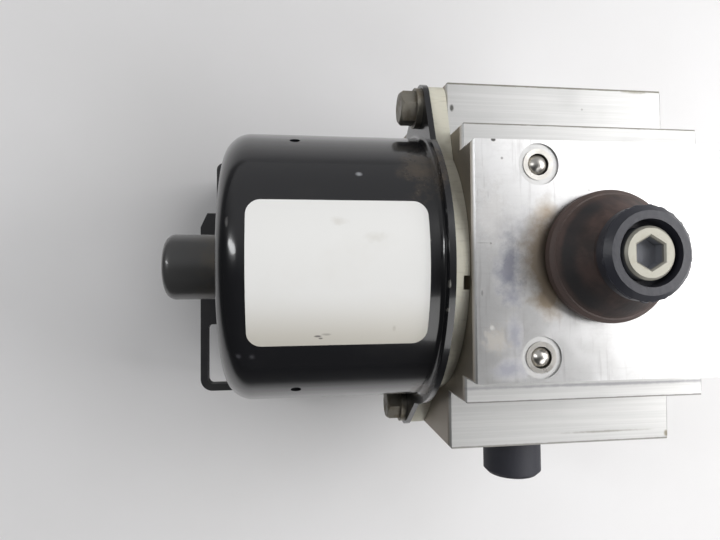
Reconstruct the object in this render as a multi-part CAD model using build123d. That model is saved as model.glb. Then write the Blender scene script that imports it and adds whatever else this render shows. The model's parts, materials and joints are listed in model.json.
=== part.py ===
from build123d import *
import math
import os

# Anti-lock brake modulator: a pump motor and a valve controller bolted to an aluminium hydraulic block.
# Millimetres. +X runs along the motor's axis towards the block, +Z is up and the controller's underside
# is Z = 0. X = 0 is the block's motor-side face.

# --- fits -------------------------------------------------------------------------------------------
RUNNING = 0.05          # radial clearance of a turning or sliding piece
LOOSE = 0.3             # clear space between pieces that only pass each other

# --- hydraulic block --------------------------------------------------------------------------------
BLOCK_LENGTH = 62.5
BODY_WIDTH = 96.0
BODY_TOP = 16.3         # heights of the three steps above the motor's axis
SHELF_WIDTH = 67.0
SHELF_TOP = 29.0
CROWN_WIDTH = 55.4
CROWN_TOP = 36.3
BLOCK_BELOW_AXIS = 42.0
BLOCK_EDGE = 0.8        # chamfer along the sawn ends

# --- controller -------------------------------------------------------------------------------------
CONTROLLER_HEIGHT = 29.7
CONTROLLER_WIDTH = 81.0
CONTROLLER_OFFSET_Y = -1.8
CONTROLLER_OVERHANG = 66.5      # how far it reaches past the block under the motor
CONTROLLER_INSET = 3.0          # how far its other end stops short of the block's port face
CASE_WALL = 2.4
CASE_CORNER = 2.5
CASE_POCKET = 5.0               # how far the end wall stands back behind the guard rail
LID_THICKNESS = 2.5
RAIL_REACH = 5.5                # plug socket and its guard rail outside the end wall
RAIL_BAR = 2.4
RAIL_HEIGHT = 4.5
RAIL_WINDOW = 21.0
RAIL_CORNER = 4.2
SOCKET_WIDTH = 31.0
SOCKET_SHOULDER = 8.4           # solid part beside the socket, its corner cut off on a slant
SHOULDER_SLANT = (2.3, 5.0)
SOCKET_DEEP = 12.0              # from the case's end wall to the socket's floor
SOCKET_WALL = 2.2
SOCKET_BASE = 4.0
PIN_SIZE = 0.8
PIN_ROWS = 2
PINS_IN_ROW = 13
PIN_PITCH = 2.0
PIN_LENGTH = 8.0
SEAL_WIDTH = 2.0
SEAL_GROOVE = 1.2
SEAL_MARGIN = (4.0, 1.9)        # from the outermost valve holes to the seal's middle line
SEAL_CORNER = 6.0
BOARD_THICKNESS = 1.6
BOARD_HEIGHT = 5.5
RELAY_SIZE = (16.0, 20.0, 12.0)
CHIP_SIZE = (14.0, 14.0, 2.4)
CAPACITOR_RADIUS = 5.0
CAPACITOR_LENGTH = 14.0

# --- motor ------------------------------------------------------------------------------------------
CAN_RADIUS = 36.0
CAN_WALL = 2.2
CAN_LENGTH = 51.3
CAN_CORNER = 7.0
BOSS_RADIUS = 8.9
BOSS_LENGTH = 16.7
BOSS_CORNER = 2.6
BOSS_WALL = 2.4
FLANGE_RADIUS = 38.8
FLANGE_THICKNESS = 1.5
ROOT_BEAD = 1.2
EAR_RADIUS = 6.2
PLATE_THICKNESS = 4.5
PLATE_RADIUS = 34.6
PLATE_EAR_RADIUS = 5.7
SCREW_PITCH_RADIUS = 43.8
SCREW_ANGLE = 16.0
DIMPLE_RADIUS = 1.3
DIMPLE_DEPTH = 0.8
DIMPLE_ANGLE = 59.0
DIMPLE_X = -39.3
NOTCH_WIDTH = 3.2
NOTCH_DEPTH = 1.5
NOTCH_HEIGHT = 4.0
NOTCH_Y = -4.9
TONGUE_WIDTH = 18.0
TONGUE_LAP = 4.0           # how far the tongue runs up into the round plate
CONTACT_WIDTH = 4.0
CONTACT_THICKNESS = 0.8
CONTACT_SPREAD = 5.0
CONTACT_TAIL = 9.0         # how far the blades reach down past the controller's top
CONTACT_HEADROOM = 6.0     # from the blades' tops to the bearing

# --- rotor ------------------------------------------------------------------------------------------
SHAFT_RADIUS = 4.0
BUSH_LENGTH = 10.0
CORE_RADIUS = 25.0
CORE_LENGTH = 22.0
CORE_START = -44.0
SLOT_COUNT = 12
SLOT_WIDTH = 4.6
SLOT_MOUTH = 1.8
SLOT_DEPTH = 11.0
TOOTH_TIP = 1.6
COIL_OVERHANG = 5.0
AIR_GAP = 0.8
MAGNET_ARC = 130.0
MAGNET_OVERHANG = 3.0
COMMUTATOR_RADIUS = 10.0
COMMUTATOR_LENGTH = 9.0
COMMUTATOR_START = -15.5
BAR_GAP = 0.6
BRUSH_WIDTH = 6.0
BRUSH_HEIGHT = 5.0
BRUSH_LENGTH = 10.0
BRUSH_TRAVEL = 2.0
BRUSH_BOX_WALL = 1.2
BRUSH_BOX_REACH = 31.0

# --- bearing and eccentric --------------------------------------------------------------------------
BEARING_RADIUS = 11.0
BEARING_WIDTH = 7.0
BEARING_START = 1.2
RACE_THICKNESS = 2.0
BALL_COUNT = 7
ECCENTRICITY = 1.0
JOURNAL_RADIUS = 5.2
NEEDLE_RADIUS = 1.0
NEEDLE_COUNT = 9
RING_THICKNESS = 1.6
ECCENTRIC_WIDTH = 9.0
PUMP_X = 16.0

# --- pump elements ----------------------------------------------------------------------------------
PISTON_RADIUS = 4.0
PISTON_LENGTH = 15.0
PISTON_TAIL = 1.6
CYLINDER_RADIUS = 6.0
PUMP_PLUG_LENGTH = 9.0
GUIDE_WALL = 10.0
PLUG_HEX = 6.0

# --- ball plugs over the pump drillings ---------------------------------------------------------------
BALL_PLUG_Y = 22.1
BALL_PLUG_RADIUS = 2.5
SLEEVE_RADIUS = 3.6
PLUG_SEAT_RADIUS = 4.85
PLUG_SEAT_DEPTH = 0.4
SLEEVE_LENGTH = 5.0
SLEEVE_SINK = 0.2
DRILLING_RADIUS = 1.2

# --- accumulators -----------------------------------------------------------------------------------
STORE_TO_PORT_FACE = 15.0
STORE_X = BLOCK_LENGTH - STORE_TO_PORT_FACE
STORE_Z = 3.0            # above the motor's axis
STORE_RADIUS = 10.0
STORE_DEPTH = 22.0
STORE_STROKE = 6.0
STORE_PISTON = 7.0
CAP_THICKNESS = 2.5
CAP_SINK = 1.5
SPRING_WIRE = 1.1

# --- valves -----------------------------------------------------------------------------------------
VALVE_TO_MOTOR_FACE = 18.0
VALVE_TO_PORT_FACE = 20.5
VALVE_COLUMNS = (VALVE_TO_MOTOR_FACE, BLOCK_LENGTH - VALVE_TO_PORT_FACE)
VALVE_PITCH = 18.5
VALVE_SEAT_RADIUS = 5.6
VALVE_DEPTH = 10.0
SLEEVE_OUTER = 4.0
SLEEVE_INNER = 3.4
SLEEVE_REACH = 20.0
SLEEVE_FLOOR = 1.0
PLUNGER_LENGTH = 9.0
PLUNGER_STROKE = 0.4
NEEDLE_PIN = 0.9
COIL_RADIUS = 8.4
COIL_HEIGHT = 15.0
COIL_PIN = 0.5
VALVE_WIRE = 0.6
VALVE_SPRING_GAP = 2.4
VALVE_SPRING_TURNS = 2

# --- ports and fastenings ---------------------------------------------------------------------------
WHEEL_PORT_RADIUS = 5.0
MASTER_PORT_RADIUS = 6.0
PORT_DEPTH = 13.0
PORT_SPOTFACE = 0.8
WHEEL_PORT_PITCH_Y = 36.0
WHEEL_PORT_PITCH_Z = 26.0
WHEEL_PORT_CENTRE_Z = 11.0      # above the motor's axis
MASTER_PORT_PITCH = 60.0
MASTER_PORT_Z = -22.0
MOTOR_SCREW_RADIUS = 2.5
MOTOR_SCREW_LENGTH = 14.0
HEX_ACROSS_FLATS = 8.0
HEX_HEIGHT = 4.0
WASHER_RADIUS = 5.3
WASHER_HEIGHT = 1.5
CASE_SCREW_RADIUS = 2.0
CASE_SCREW_HEAD = 3.6
PILLAR_RADIUS = 3.0
CASE_SCREW_LENGTH = 38.0
CASE_SCREW_MARGIN = (5.0, 9.0)    # from the motor's side and from the port face
CASE_SCREW_X = (CASE_SCREW_MARGIN[0], BLOCK_LENGTH - CASE_SCREW_MARGIN[1])
CASE_SCREW_Y = 32.0

# --- rubber mounts ----------------------------------------------------------------------------------
TOP_MOUNT_X = BLOCK_LENGTH / 2 + 0.75
TOP_MOUNT_Y = 0.8
TOP_MOUNT_HEIGHT = 16.0
TOP_WAIST_RADIUS = 9.0
TOP_TAPER = (14.0, 6.5)         # radius at the foot and length of the taper to the waist
TOP_COLLAR = (9.9, 4.4)         # radius and length of the part outside the bracket's slot
SIDE_MOUNT_X = BLOCK_LENGTH / 2
SIDE_MOUNT_Z = -17.0
SIDE_MOUNT_HEIGHT = 18.6
SIDE_WAIST_RADIUS = 7.8
SIDE_TAPER = (12.6, 3.0)
SIDE_COLLAR = (9.1, 11.6)
FOOT_RADIUS = 15.2
FOOT_THICKNESS = 3.5
CUP_RADIUS = 7.0
CUP_DEPTH = 4.2
STUD_RADIUS = 3.0
STUD_DEPTH = 8.0
STUD_SHANK = 4.2
STUD_HEAD_RADIUS = 5.6
STUD_HEAD_HEIGHT = 4.0
SOCKET_ACROSS_FLATS = 6.0
SOCKET_DEPTH = 3.0
SOCKET_BEVEL = 0.35

# --- label ------------------------------------------------------------------------------------------
LABEL_START = -50.2
LABEL_LENGTH = 40.6
LABEL_ARC = 53.7
LABEL_TURN = 4.5
LABEL_THICKNESS = 0.15
LABEL_CORNER = 3.3

# --- worked out from the sizes above ------------------------------------------------------------------
BLOCK_BASE = CONTROLLER_HEIGHT + LOOSE
AXIS_Z = BLOCK_BASE + BLOCK_BELOW_AXIS
CROWN_Z = AXIS_Z + CROWN_TOP
FLANGE_BACK = -PLATE_THICKNESS
FLANGE_FRONT = FLANGE_BACK - FLANGE_THICKNESS
CAN_END = FLANGE_FRONT - CAN_LENGTH
BOSS_END = CAN_END - BOSS_LENGTH
CAN_BORE = CAN_RADIUS - CAN_WALL
RING_BORE = JOURNAL_RADIUS + 2 * NEEDLE_RADIUS + 2 * RUNNING
RING_RADIUS = RING_BORE + RING_THICKNESS
CHAMBER_RADIUS = RING_RADIUS + ECCENTRICITY + LOOSE
PISTON_TIP = RING_RADIUS + ECCENTRICITY + LOOSE
CYLINDER_START = CHAMBER_RADIUS + GUIDE_WALL
PUMP_PLUG_START = BODY_WIDTH / 2 - PUMP_PLUG_LENGTH
STORE_START = BODY_WIDTH / 2 - STORE_DEPTH
VALVE_ROWS = [VALVE_PITCH * (row - 1.5) + CONTROLLER_OFFSET_Y for row in range(4)]
CASE_FRONT = BLOCK_LENGTH - CONTROLLER_INSET
CASE_LENGTH = CASE_FRONT + CONTROLLER_OVERHANG
CASE_MIDDLE_X = CASE_FRONT - CASE_LENGTH / 2
CASE_END = CASE_FRONT - CASE_LENGTH
CASE_LOW_Y = CONTROLLER_OFFSET_Y - CONTROLLER_WIDTH / 2
SOCKET_START_Y = CASE_LOW_Y + RAIL_BAR + RAIL_WINDOW
HOLE_MARGIN = SLEEVE_OUTER + LOOSE
SEAL_SIZE = (
    VALVE_COLUMNS[1] - VALVE_COLUMNS[0] + 2 * (HOLE_MARGIN + SEAL_MARGIN[0]),
    3 * VALVE_PITCH + 2 * (HOLE_MARGIN + SEAL_MARGIN[1]),
)
SOCKET_FLOOR = CASE_END + SOCKET_DEEP
BOARD_START = SOCKET_FLOOR + SOCKET_WALL + LOOSE
BOARD_TOP = BOARD_HEIGHT + BOARD_THICKNESS
ACROSS = Plane.YZ.location      # turns a piece drawn on XY to stand across the motor's axis


def rod_x(radius, start, end, y=0.0, z=AXIS_Z):
    """A cylinder along X between two stations."""
    return Pos((start + end) / 2, y, z) * Rot(0, 90, 0) * Cylinder(radius, end - start)


def rod_y(radius, start, end, x, z):
    """A cylinder along Y between two stations."""
    return Pos(x, (start + end) / 2, z) * Rot(90, 0, 0) * Cylinder(radius, end - start)


def rod_z(radius, start, end, x, y):
    """A cylinder along Z between two stations."""
    return Pos(x, y, (start + end) / 2) * Cylinder(radius, end - start)


def brick(x_span, y_span, z_span):
    """A box between three pairs of stations."""
    spans = (x_span, y_span, z_span)
    middle = [(low + high) / 2 for low, high in spans]
    return Pos(*middle) * Box(*[high - low for low, high in spans])


def turned(profile):
    """A profile of (radius, height) points turned about Z."""
    outline = make_face(Polyline(*[(radius, 0, height) for radius, height in profile], close=True))
    return revolve(outline, Axis.Z)


def coil_spring(mean_radius, wire, length, turns):
    """A spring of square wire standing on Z = 0, with the given free length."""
    path = Helix(pitch=(length - wire) / turns, height=length - wire, radius=mean_radius)
    section = Plane(origin=path @ 0, z_dir=path % 0) * Rectangle(wire, wire)
    return Pos(0, 0, wire / 2) * sweep(section, path=path, is_frenet=True)


def fused(pieces):
    """Several pieces made one solid."""
    whole = pieces[0]
    for piece in pieces[1:]:
        whole += piece
    return whole


def both_sides(piece):
    """A piece and its mirror image across the motor's vertical plane."""
    return [piece, mirror(piece, Plane.XZ)]


# --- motor fastening pattern --------------------------------------------------------------------------
def ear_places():
    """Where the two motor screws stand, as (y, z)."""
    places = []
    for angle in (SCREW_ANGLE, SCREW_ANGLE + 180):
        turn = math.radians(angle)
        places.append((SCREW_PITCH_RADIUS * math.cos(turn), AXIS_Z + SCREW_PITCH_RADIUS * math.sin(turn)))
    return places


def eared_plate(radius, ear_radius, start, end):
    """A round plate with a tangent ear at each screw."""
    disc = Circle(radius)
    outline = disc
    for angle in (SCREW_ANGLE, SCREW_ANGLE + 180):
        tip = Rot(0, 0, angle) * Pos(SCREW_PITCH_RADIUS, 0) * Circle(ear_radius)
        root = Rot(0, 0, angle) * Pos(radius * 0.6, 0) * Rectangle(1, radius * 1.25)
        outline += make_hull((tip + root).edges())
    plate = extrude(outline, end - start)
    return Pos(start, 0, AXIS_Z) * ACROSS * plate


def motor_can():
    """The drawn steel can with its bearing boss, mounting flange and ears."""
    shell = rod_x(CAN_RADIUS, CAN_END, FLANGE_BACK)
    shell = fillet(shell.edges().filter_by(GeomType.CIRCLE).sort_by(Axis.X)[0], CAN_CORNER)
    boss = rod_x(BOSS_RADIUS, BOSS_END, CAN_END + CAN_WALL)
    boss = fillet(boss.edges().filter_by(GeomType.CIRCLE).sort_by(Axis.X)[0], BOSS_CORNER)
    flange = eared_plate(FLANGE_RADIUS, EAR_RADIUS, FLANGE_FRONT, FLANGE_BACK)
    can = shell + boss + flange
    roots = [edge for edge in can.edges().filter_by(GeomType.CIRCLE) if abs(edge.radius - CAN_RADIUS) < 0.01]
    can = fillet([edge for edge in roots if abs(edge.center().X - FLANGE_FRONT) < 0.01], ROOT_BEAD)
    hollow = rod_x(CAN_BORE, CAN_END + CAN_WALL, FLANGE_BACK)
    inner_corner = CAN_CORNER - CAN_WALL
    hollow = fillet(hollow.edges().filter_by(GeomType.CIRCLE).sort_by(Axis.X)[0], inner_corner)
    can -= hollow
    can -= rod_x(BOSS_RADIUS - BOSS_WALL, BOSS_END + BOSS_WALL, CAN_END + CAN_WALL + 1)
    for y, z in ear_places():
        can -= rod_x(MOTOR_SCREW_RADIUS + LOOSE, FLANGE_FRONT - 1, FLANGE_BACK + 1, y, z)
    for angle in (DIMPLE_ANGLE, -DIMPLE_ANGLE, 180 - DIMPLE_ANGLE, DIMPLE_ANGLE - 180):
        pit = rod_z(DIMPLE_RADIUS, CAN_RADIUS - DIMPLE_DEPTH, CAN_RADIUS + 1, DIMPLE_X, 0)
        can -= Pos(0, 0, AXIS_Z) * Rot(angle, 0, 0) * pit
    return can


def brush_box(side):
    """A guide for one carbon brush, standing on the end plate."""
    outer = (BRUSH_WIDTH / 2 + BRUSH_BOX_WALL, BRUSH_HEIGHT / 2 + BRUSH_BOX_WALL)
    middle = COMMUTATOR_START + COMMUTATOR_LENGTH / 2
    near, far = sorted((side * (COMMUTATOR_RADIUS + 1.5), side * BRUSH_BOX_REACH))
    box = brick((middle - outer[0], FLANGE_BACK + 1), (near, far), (AXIS_Z - outer[1], AXIS_Z + outer[1]))
    return box


def brush_tunnel(side):
    """The space that a brush and its spring slide in."""
    width = BRUSH_WIDTH / 2 + RUNNING
    height = BRUSH_HEIGHT / 2 + RUNNING
    middle = COMMUTATOR_START + COMMUTATOR_LENGTH / 2
    near, far = sorted((side * (COMMUTATOR_RADIUS - 2), side * (BRUSH_BOX_REACH - BRUSH_BOX_WALL)))
    return brick((middle - width, middle + width), (near, far), (AXIS_Z - height, AXIS_Z + height))


def motor_end_plate():
    """The moulded nylon plate between can and block, which carries the brush boxes."""
    plate = eared_plate(PLATE_RADIUS, PLATE_EAR_RADIUS, FLANGE_BACK, -RUNNING)
    for side in (1, -1):
        plate += brush_box(side)
    for side in (1, -1):
        plate -= brush_tunnel(side)
    tongue = (CONTROLLER_HEIGHT + LOOSE, AXIS_Z - PLATE_RADIUS + TONGUE_LAP)
    plate += brick((FLANGE_BACK, -RUNNING), (-TONGUE_WIDTH / 2, TONGUE_WIDTH / 2), tongue)
    plate -= fused(motor_contacts())
    plate -= rod_x(BEARING_RADIUS + LOOSE, FLANGE_BACK - 1, 1)
    rim = AXIS_Z + PLATE_RADIUS
    notch_y = (NOTCH_Y - NOTCH_WIDTH / 2, NOTCH_Y + NOTCH_WIDTH / 2)
    plate -= brick((-NOTCH_DEPTH, 1), notch_y, (rim - NOTCH_HEIGHT, rim + 1))
    for y, z in ear_places():
        plate -= rod_x(MOTOR_SCREW_RADIUS + LOOSE, FLANGE_BACK - 1, 1, y, z)
    return plate


def motor_contacts():
    """The two flat blades that lead the motor's current down into the controller."""
    middle = FLANGE_BACK / 2
    thickness = (middle - CONTACT_THICKNESS / 2, middle + CONTACT_THICKNESS / 2)
    height = (CONTROLLER_HEIGHT - CONTACT_TAIL, AXIS_Z - BEARING_RADIUS - CONTACT_HEADROOM)
    contacts = []
    for side in (1, -1):
        width = (side * CONTACT_SPREAD - CONTACT_WIDTH / 2, side * CONTACT_SPREAD + CONTACT_WIDTH / 2)
        contacts.append(brick(thickness, width, height))
    return contacts


def motor_screws():
    """Two hexagon flange screws that hold can and plate to the block."""
    screws = []
    for y, z in ear_places():
        washer_top = FLANGE_FRONT - WASHER_HEIGHT
        head_end = washer_top - HEX_HEIGHT
        screw = rod_x(MOTOR_SCREW_RADIUS, FLANGE_FRONT, MOTOR_SCREW_LENGTH, y, z)
        screw += rod_x(WASHER_RADIUS, washer_top, FLANGE_FRONT, y, z)
        hexagon = RegularPolygon(HEX_ACROSS_FLATS / 2, 6, major_radius=False, rotation=30)
        screw += Pos(head_end, y, z) * ACROSS * extrude(hexagon, HEX_HEIGHT)
        crown = Pos(head_end, y, z) * Rot(0, 90, 0) * Cone(
            HEX_ACROSS_FLATS / 2 - 0.2, HEX_ACROSS_FLATS / 2 + 0.9, 1.1, align=(Align.CENTER, Align.CENTER, Align.MIN)
        )
        blank = rod_x(HEX_ACROSS_FLATS, head_end, head_end + 1.1, y, z)
        screw -= blank - crown
        screws.append(screw)
    return screws


def can_label():
    """A blank paper label with round corners on the top of the can."""
    inner = CAN_RADIUS + 0.03
    band = rod_x(inner + LABEL_THICKNESS, LABEL_START, LABEL_START + LABEL_LENGTH)
    band -= rod_x(inner, LABEL_START - 1, LABEL_START + LABEL_LENGTH + 1)
    chord = 2 * CAN_RADIUS * math.sin(math.radians(LABEL_ARC / 2))
    outline = RectangleRounded(LABEL_LENGTH, chord, LABEL_CORNER)
    cutter = Pos(LABEL_START + LABEL_LENGTH / 2, 0, 0) * extrude(outline, CAN_RADIUS * 2)
    return band & (Pos(0, 0, AXIS_Z) * Rot(LABEL_TURN, 0, 0) * cutter)


def rotor_shaft():
    """The turned shaft with its eccentric journal inside the block."""
    bush_end = BOSS_END + BOSS_WALL + LOOSE
    shaft = rod_x(SHAFT_RADIUS, bush_end, PUMP_X - ECCENTRIC_WIDTH / 2)
    journal = (PUMP_X - ECCENTRIC_WIDTH / 2 - 0.5, PUMP_X + ECCENTRIC_WIDTH / 2)
    shaft += rod_x(JOURNAL_RADIUS, journal[0], journal[1], 0, AXIS_Z + ECCENTRICITY)
    return chamfer(shaft.edges().filter_by(GeomType.CIRCLE).sort_by(Axis.X)[0], 0.5)


def rear_bush():
    """The sintered bush in the can's boss."""
    start = BOSS_END + BOSS_WALL + 1
    return rod_x(BOSS_RADIUS - BOSS_WALL, start, start + BUSH_LENGTH) - rod_x(
        SHAFT_RADIUS + RUNNING, start - 1, start + BUSH_LENGTH + 1
    )


def slots(width, inner, outer, start, end):
    """The ring of slots or bars that the armature repeats."""
    bars = []
    for index in range(SLOT_COUNT):
        bar = brick((start, end), (-width / 2, width / 2), (inner, outer))
        bars.append(Pos(0, 0, AXIS_Z) * Rot(360 / SLOT_COUNT * index, 0, 0) * bar)
    return bars


def armature_core():
    """The slotted lamination stack."""
    end = CORE_START + CORE_LENGTH
    core = rod_x(CORE_RADIUS, CORE_START, end) - rod_x(SHAFT_RADIUS, CORE_START - 1, end + 1)
    tip = CORE_RADIUS - TOOTH_TIP
    core -= fused(slots(SLOT_WIDTH, tip - SLOT_DEPTH, tip, CORE_START - 1, end + 1))
    core -= fused(slots(SLOT_MOUTH, tip - 1, CORE_RADIUS + 1, CORE_START - 1, end + 1))
    return core


def armature_winding():
    """The copper winding: bars in the slots joined by the end turns."""
    end = CORE_START + CORE_LENGTH
    outer = CORE_RADIUS - TOOTH_TIP - 0.2
    inner = outer - SLOT_DEPTH + 0.4
    turns = []
    for start, stop in ((CORE_START - COIL_OVERHANG, CORE_START), (end, end + COIL_OVERHANG)):
        turns.append(rod_x(outer, start, stop) - rod_x(inner, start - 1, stop + 1))
    bars = slots(SLOT_WIDTH - 0.2, inner + 0.6, outer - 0.3, CORE_START - 1, end + 1)
    return fused(turns + bars)


def commutator():
    """The segmented copper cylinder that the brushes run on."""
    end = COMMUTATOR_START + COMMUTATOR_LENGTH
    drum = rod_x(COMMUTATOR_RADIUS, COMMUTATOR_START, end)
    drum -= rod_x(SHAFT_RADIUS, COMMUTATOR_START - 1, end + 1)
    gaps = slots(BAR_GAP, COMMUTATOR_RADIUS - 1, COMMUTATOR_RADIUS + 1, COMMUTATOR_START - 1, end + 1)
    return drum - fused(gaps)


def field_magnets():
    """Two ferrite arcs bonded inside the can."""
    start = CORE_START - MAGNET_OVERHANG
    end = CORE_START + CORE_LENGTH + MAGNET_OVERHANG
    inner = CORE_RADIUS + AIR_GAP
    ring = rod_x(CAN_BORE - 0.02, start, end) - rod_x(inner, start - 1, end + 1)
    reach = 2 * CAN_RADIUS
    half = math.radians(MAGNET_ARC / 2)
    wedge = make_face(
        Polyline((0, 0), (reach * math.sin(half), reach * math.cos(half)), (0, reach * 2),
                 (-reach * math.sin(half), reach * math.cos(half)), close=True)
    )
    sector = Pos(start - 1, 0, AXIS_Z) * ACROSS * extrude(wedge, end - start + 2)
    upper = ring & sector
    return [upper, Pos(0, 0, AXIS_Z) * Rot(180, 0, 0) * Pos(0, 0, -AXIS_Z) * upper]


def brush(side):
    """One carbon brush, its face hollowed to the commutator."""
    middle = COMMUTATOR_START + COMMUTATOR_LENGTH / 2
    near, far = sorted((side * (COMMUTATOR_RADIUS - 1.5), side * (COMMUTATOR_RADIUS + BRUSH_LENGTH)))
    block = brick(
        (middle - BRUSH_WIDTH / 2, middle + BRUSH_WIDTH / 2), (near, far),
        (AXIS_Z - BRUSH_HEIGHT / 2, AXIS_Z + BRUSH_HEIGHT / 2),
    )
    end = COMMUTATOR_START + COMMUTATOR_LENGTH
    return block - rod_x(COMMUTATOR_RADIUS + RUNNING, COMMUTATOR_START - 1, end + 1)


def brush_spring(side):
    """The spring that presses one brush on the commutator."""
    start = COMMUTATOR_RADIUS + BRUSH_LENGTH
    length = BRUSH_BOX_REACH - BRUSH_BOX_WALL - start
    spring = coil_spring(1.7, 0.6, length, 5)
    middle = COMMUTATOR_START + COMMUTATOR_LENGTH / 2
    return Pos(middle, side * start, AXIS_Z) * Rot(-90 * side, 0, 0) * spring


def front_bearing():
    """The three pieces of the ball bearing between motor and block: outer race, inner race, balls."""
    end = BEARING_START + BEARING_WIDTH
    pitch = (BEARING_RADIUS + SHAFT_RADIUS) / 2
    ball_radius = (BEARING_RADIUS - SHAFT_RADIUS) / 2 - RACE_THICKNESS + 0.6
    ring_span = (BEARING_START, end)
    outer = rod_x(BEARING_RADIUS, *ring_span)
    outer -= rod_x(BEARING_RADIUS - RACE_THICKNESS, BEARING_START - 1, end + 1)
    inner = rod_x(SHAFT_RADIUS + RACE_THICKNESS, *ring_span)
    inner -= rod_x(SHAFT_RADIUS, BEARING_START - 1, end + 1)
    middle = Pos((BEARING_START + end) / 2, 0, AXIS_Z)
    groove = middle * Rot(0, 90, 0) * Torus(pitch, ball_radius + RUNNING)
    balls = []
    for index in range(BALL_COUNT):
        turn = Rot(360 / BALL_COUNT * index, 0, 0)
        balls.append(middle * turn * Pos(0, 0, pitch) * Sphere(ball_radius))
    return outer - groove, inner - groove, balls


def eccentric_ring():
    """The outer ring of the needle bearing, which pushes the pump pistons."""
    start = PUMP_X - ECCENTRIC_WIDTH / 2
    end = PUMP_X + ECCENTRIC_WIDTH / 2
    z = AXIS_Z + ECCENTRICITY
    return rod_x(RING_RADIUS, start, end, 0, z) - rod_x(RING_BORE, start - 1, end + 1, 0, z)


def eccentric_needles():
    """The needles between the eccentric journal and its ring."""
    pitch = JOURNAL_RADIUS + NEEDLE_RADIUS + RUNNING
    half = ECCENTRIC_WIDTH / 2 - 1
    needles = []
    for index in range(NEEDLE_COUNT):
        needle = rod_x(NEEDLE_RADIUS, PUMP_X - half, PUMP_X + half, 0, pitch)
        needles.append(Pos(0, 0, AXIS_Z + ECCENTRICITY) * Rot(360 / NEEDLE_COUNT * index, 0, 0) * needle)
    return needles


def lay_along_y(piece, side, start, x, z):
    """A piece that stands on Z = 0, laid outwards along Y from a station."""
    return Pos(x, side * start, z) * Rot(-90 * side, 0, 0) * piece


def pump_piston(side):
    """A plunger with a round nose on the eccentric and a tail inside its spring."""
    tail = PISTON_RADIUS - PISTON_TAIL
    profile = [
        (0, 0), (PISTON_RADIUS - 1, 0), (PISTON_RADIUS, 1), (PISTON_RADIUS, PISTON_LENGTH - 3),
        (tail, PISTON_LENGTH - 3), (tail, PISTON_LENGTH), (0, PISTON_LENGTH),
    ]
    return lay_along_y(turned(profile), side, PISTON_TIP, PUMP_X, AXIS_Z)


def pump_spring(side):
    """The return spring between a piston's shoulder and its plug."""
    start = PISTON_TIP + PISTON_LENGTH - 3
    length = PUMP_PLUG_START - start
    spring = coil_spring(PISTON_RADIUS - 0.55, 0.8, length, 4)
    return lay_along_y(spring, side, start, PUMP_X, AXIS_Z)


def pump_plug():
    """The screwed plug with a hexagon socket that closes a pump bore."""
    plug = Cylinder(CYLINDER_RADIUS, PUMP_PLUG_LENGTH, align=(Align.CENTER, Align.CENTER, Align.MIN))
    socket = extrude(RegularPolygon(PLUG_HEX / 2, 6, major_radius=False), 5)
    return plug - Pos(0, 0, PUMP_PLUG_LENGTH - 4) * socket


def pump_plugs():
    """Both pump plugs, seated flush with the block's sides."""
    return [lay_along_y(pump_plug(), side, PUMP_PLUG_START, PUMP_X, AXIS_Z) for side in (1, -1)]


def ball_plug_sleeves():
    """The two sleeves pressed in over the pump drillings."""
    top = CROWN_Z - SLEEVE_SINK
    sleeve = rod_z(SLEEVE_RADIUS, top - SLEEVE_LENGTH, top, PUMP_X, BALL_PLUG_Y)
    sleeve -= rod_z(BALL_PLUG_RADIUS, top - SLEEVE_LENGTH - 1, top + 1, PUMP_X, BALL_PLUG_Y)
    return both_sides(sleeve)


def plug_balls():
    """The steel balls driven into the sleeves."""
    centre = CROWN_Z - SLEEVE_SINK - BALL_PLUG_RADIUS * 0.7
    return both_sides(Pos(PUMP_X, BALL_PLUG_Y, centre) * Sphere(BALL_PLUG_RADIUS))


def store_piston(side):
    """The cup-shaped low-pressure piston."""
    radius = STORE_RADIUS - RUNNING
    cup = Cylinder(radius, STORE_PISTON, align=(Align.CENTER, Align.CENTER, Align.MIN))
    cup -= Pos(0, 0, 2) * Cylinder(radius - 2.2, STORE_PISTON, align=(Align.CENTER, Align.CENTER, Align.MIN))
    return lay_along_y(cup, side, STORE_START + LOOSE, STORE_X, AXIS_Z + STORE_Z)


def store_spring(side):
    """The spring behind a low-pressure piston."""
    start = STORE_START + LOOSE + 2
    end = BODY_WIDTH / 2 - CAP_SINK - CAP_THICKNESS
    spring = coil_spring(STORE_RADIUS - 4, SPRING_WIRE, end - start, 3)
    return lay_along_y(spring, side, start, STORE_X, AXIS_Z + STORE_Z)


def store_caps():
    """The pressed caps that close both low-pressure chambers."""
    start = BODY_WIDTH / 2 - CAP_SINK - CAP_THICKNESS
    cap = Cylinder(STORE_RADIUS, CAP_THICKNESS, align=(Align.CENTER, Align.CENTER, Align.MIN))
    cap -= Pos(0, 0, CAP_THICKNESS - 1) * Cylinder(
        STORE_RADIUS - 3, CAP_THICKNESS, align=(Align.CENTER, Align.CENTER, Align.MIN)
    )
    return [lay_along_y(cap, side, start, STORE_X, AXIS_Z + STORE_Z) for side in (1, -1)]


# --- solenoid valves ----------------------------------------------------------------------------------
def valve_places(column):
    """Where the four valves of one column stand, as (x, y)."""
    return [(VALVE_COLUMNS[column], y) for y in VALVE_ROWS]


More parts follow.
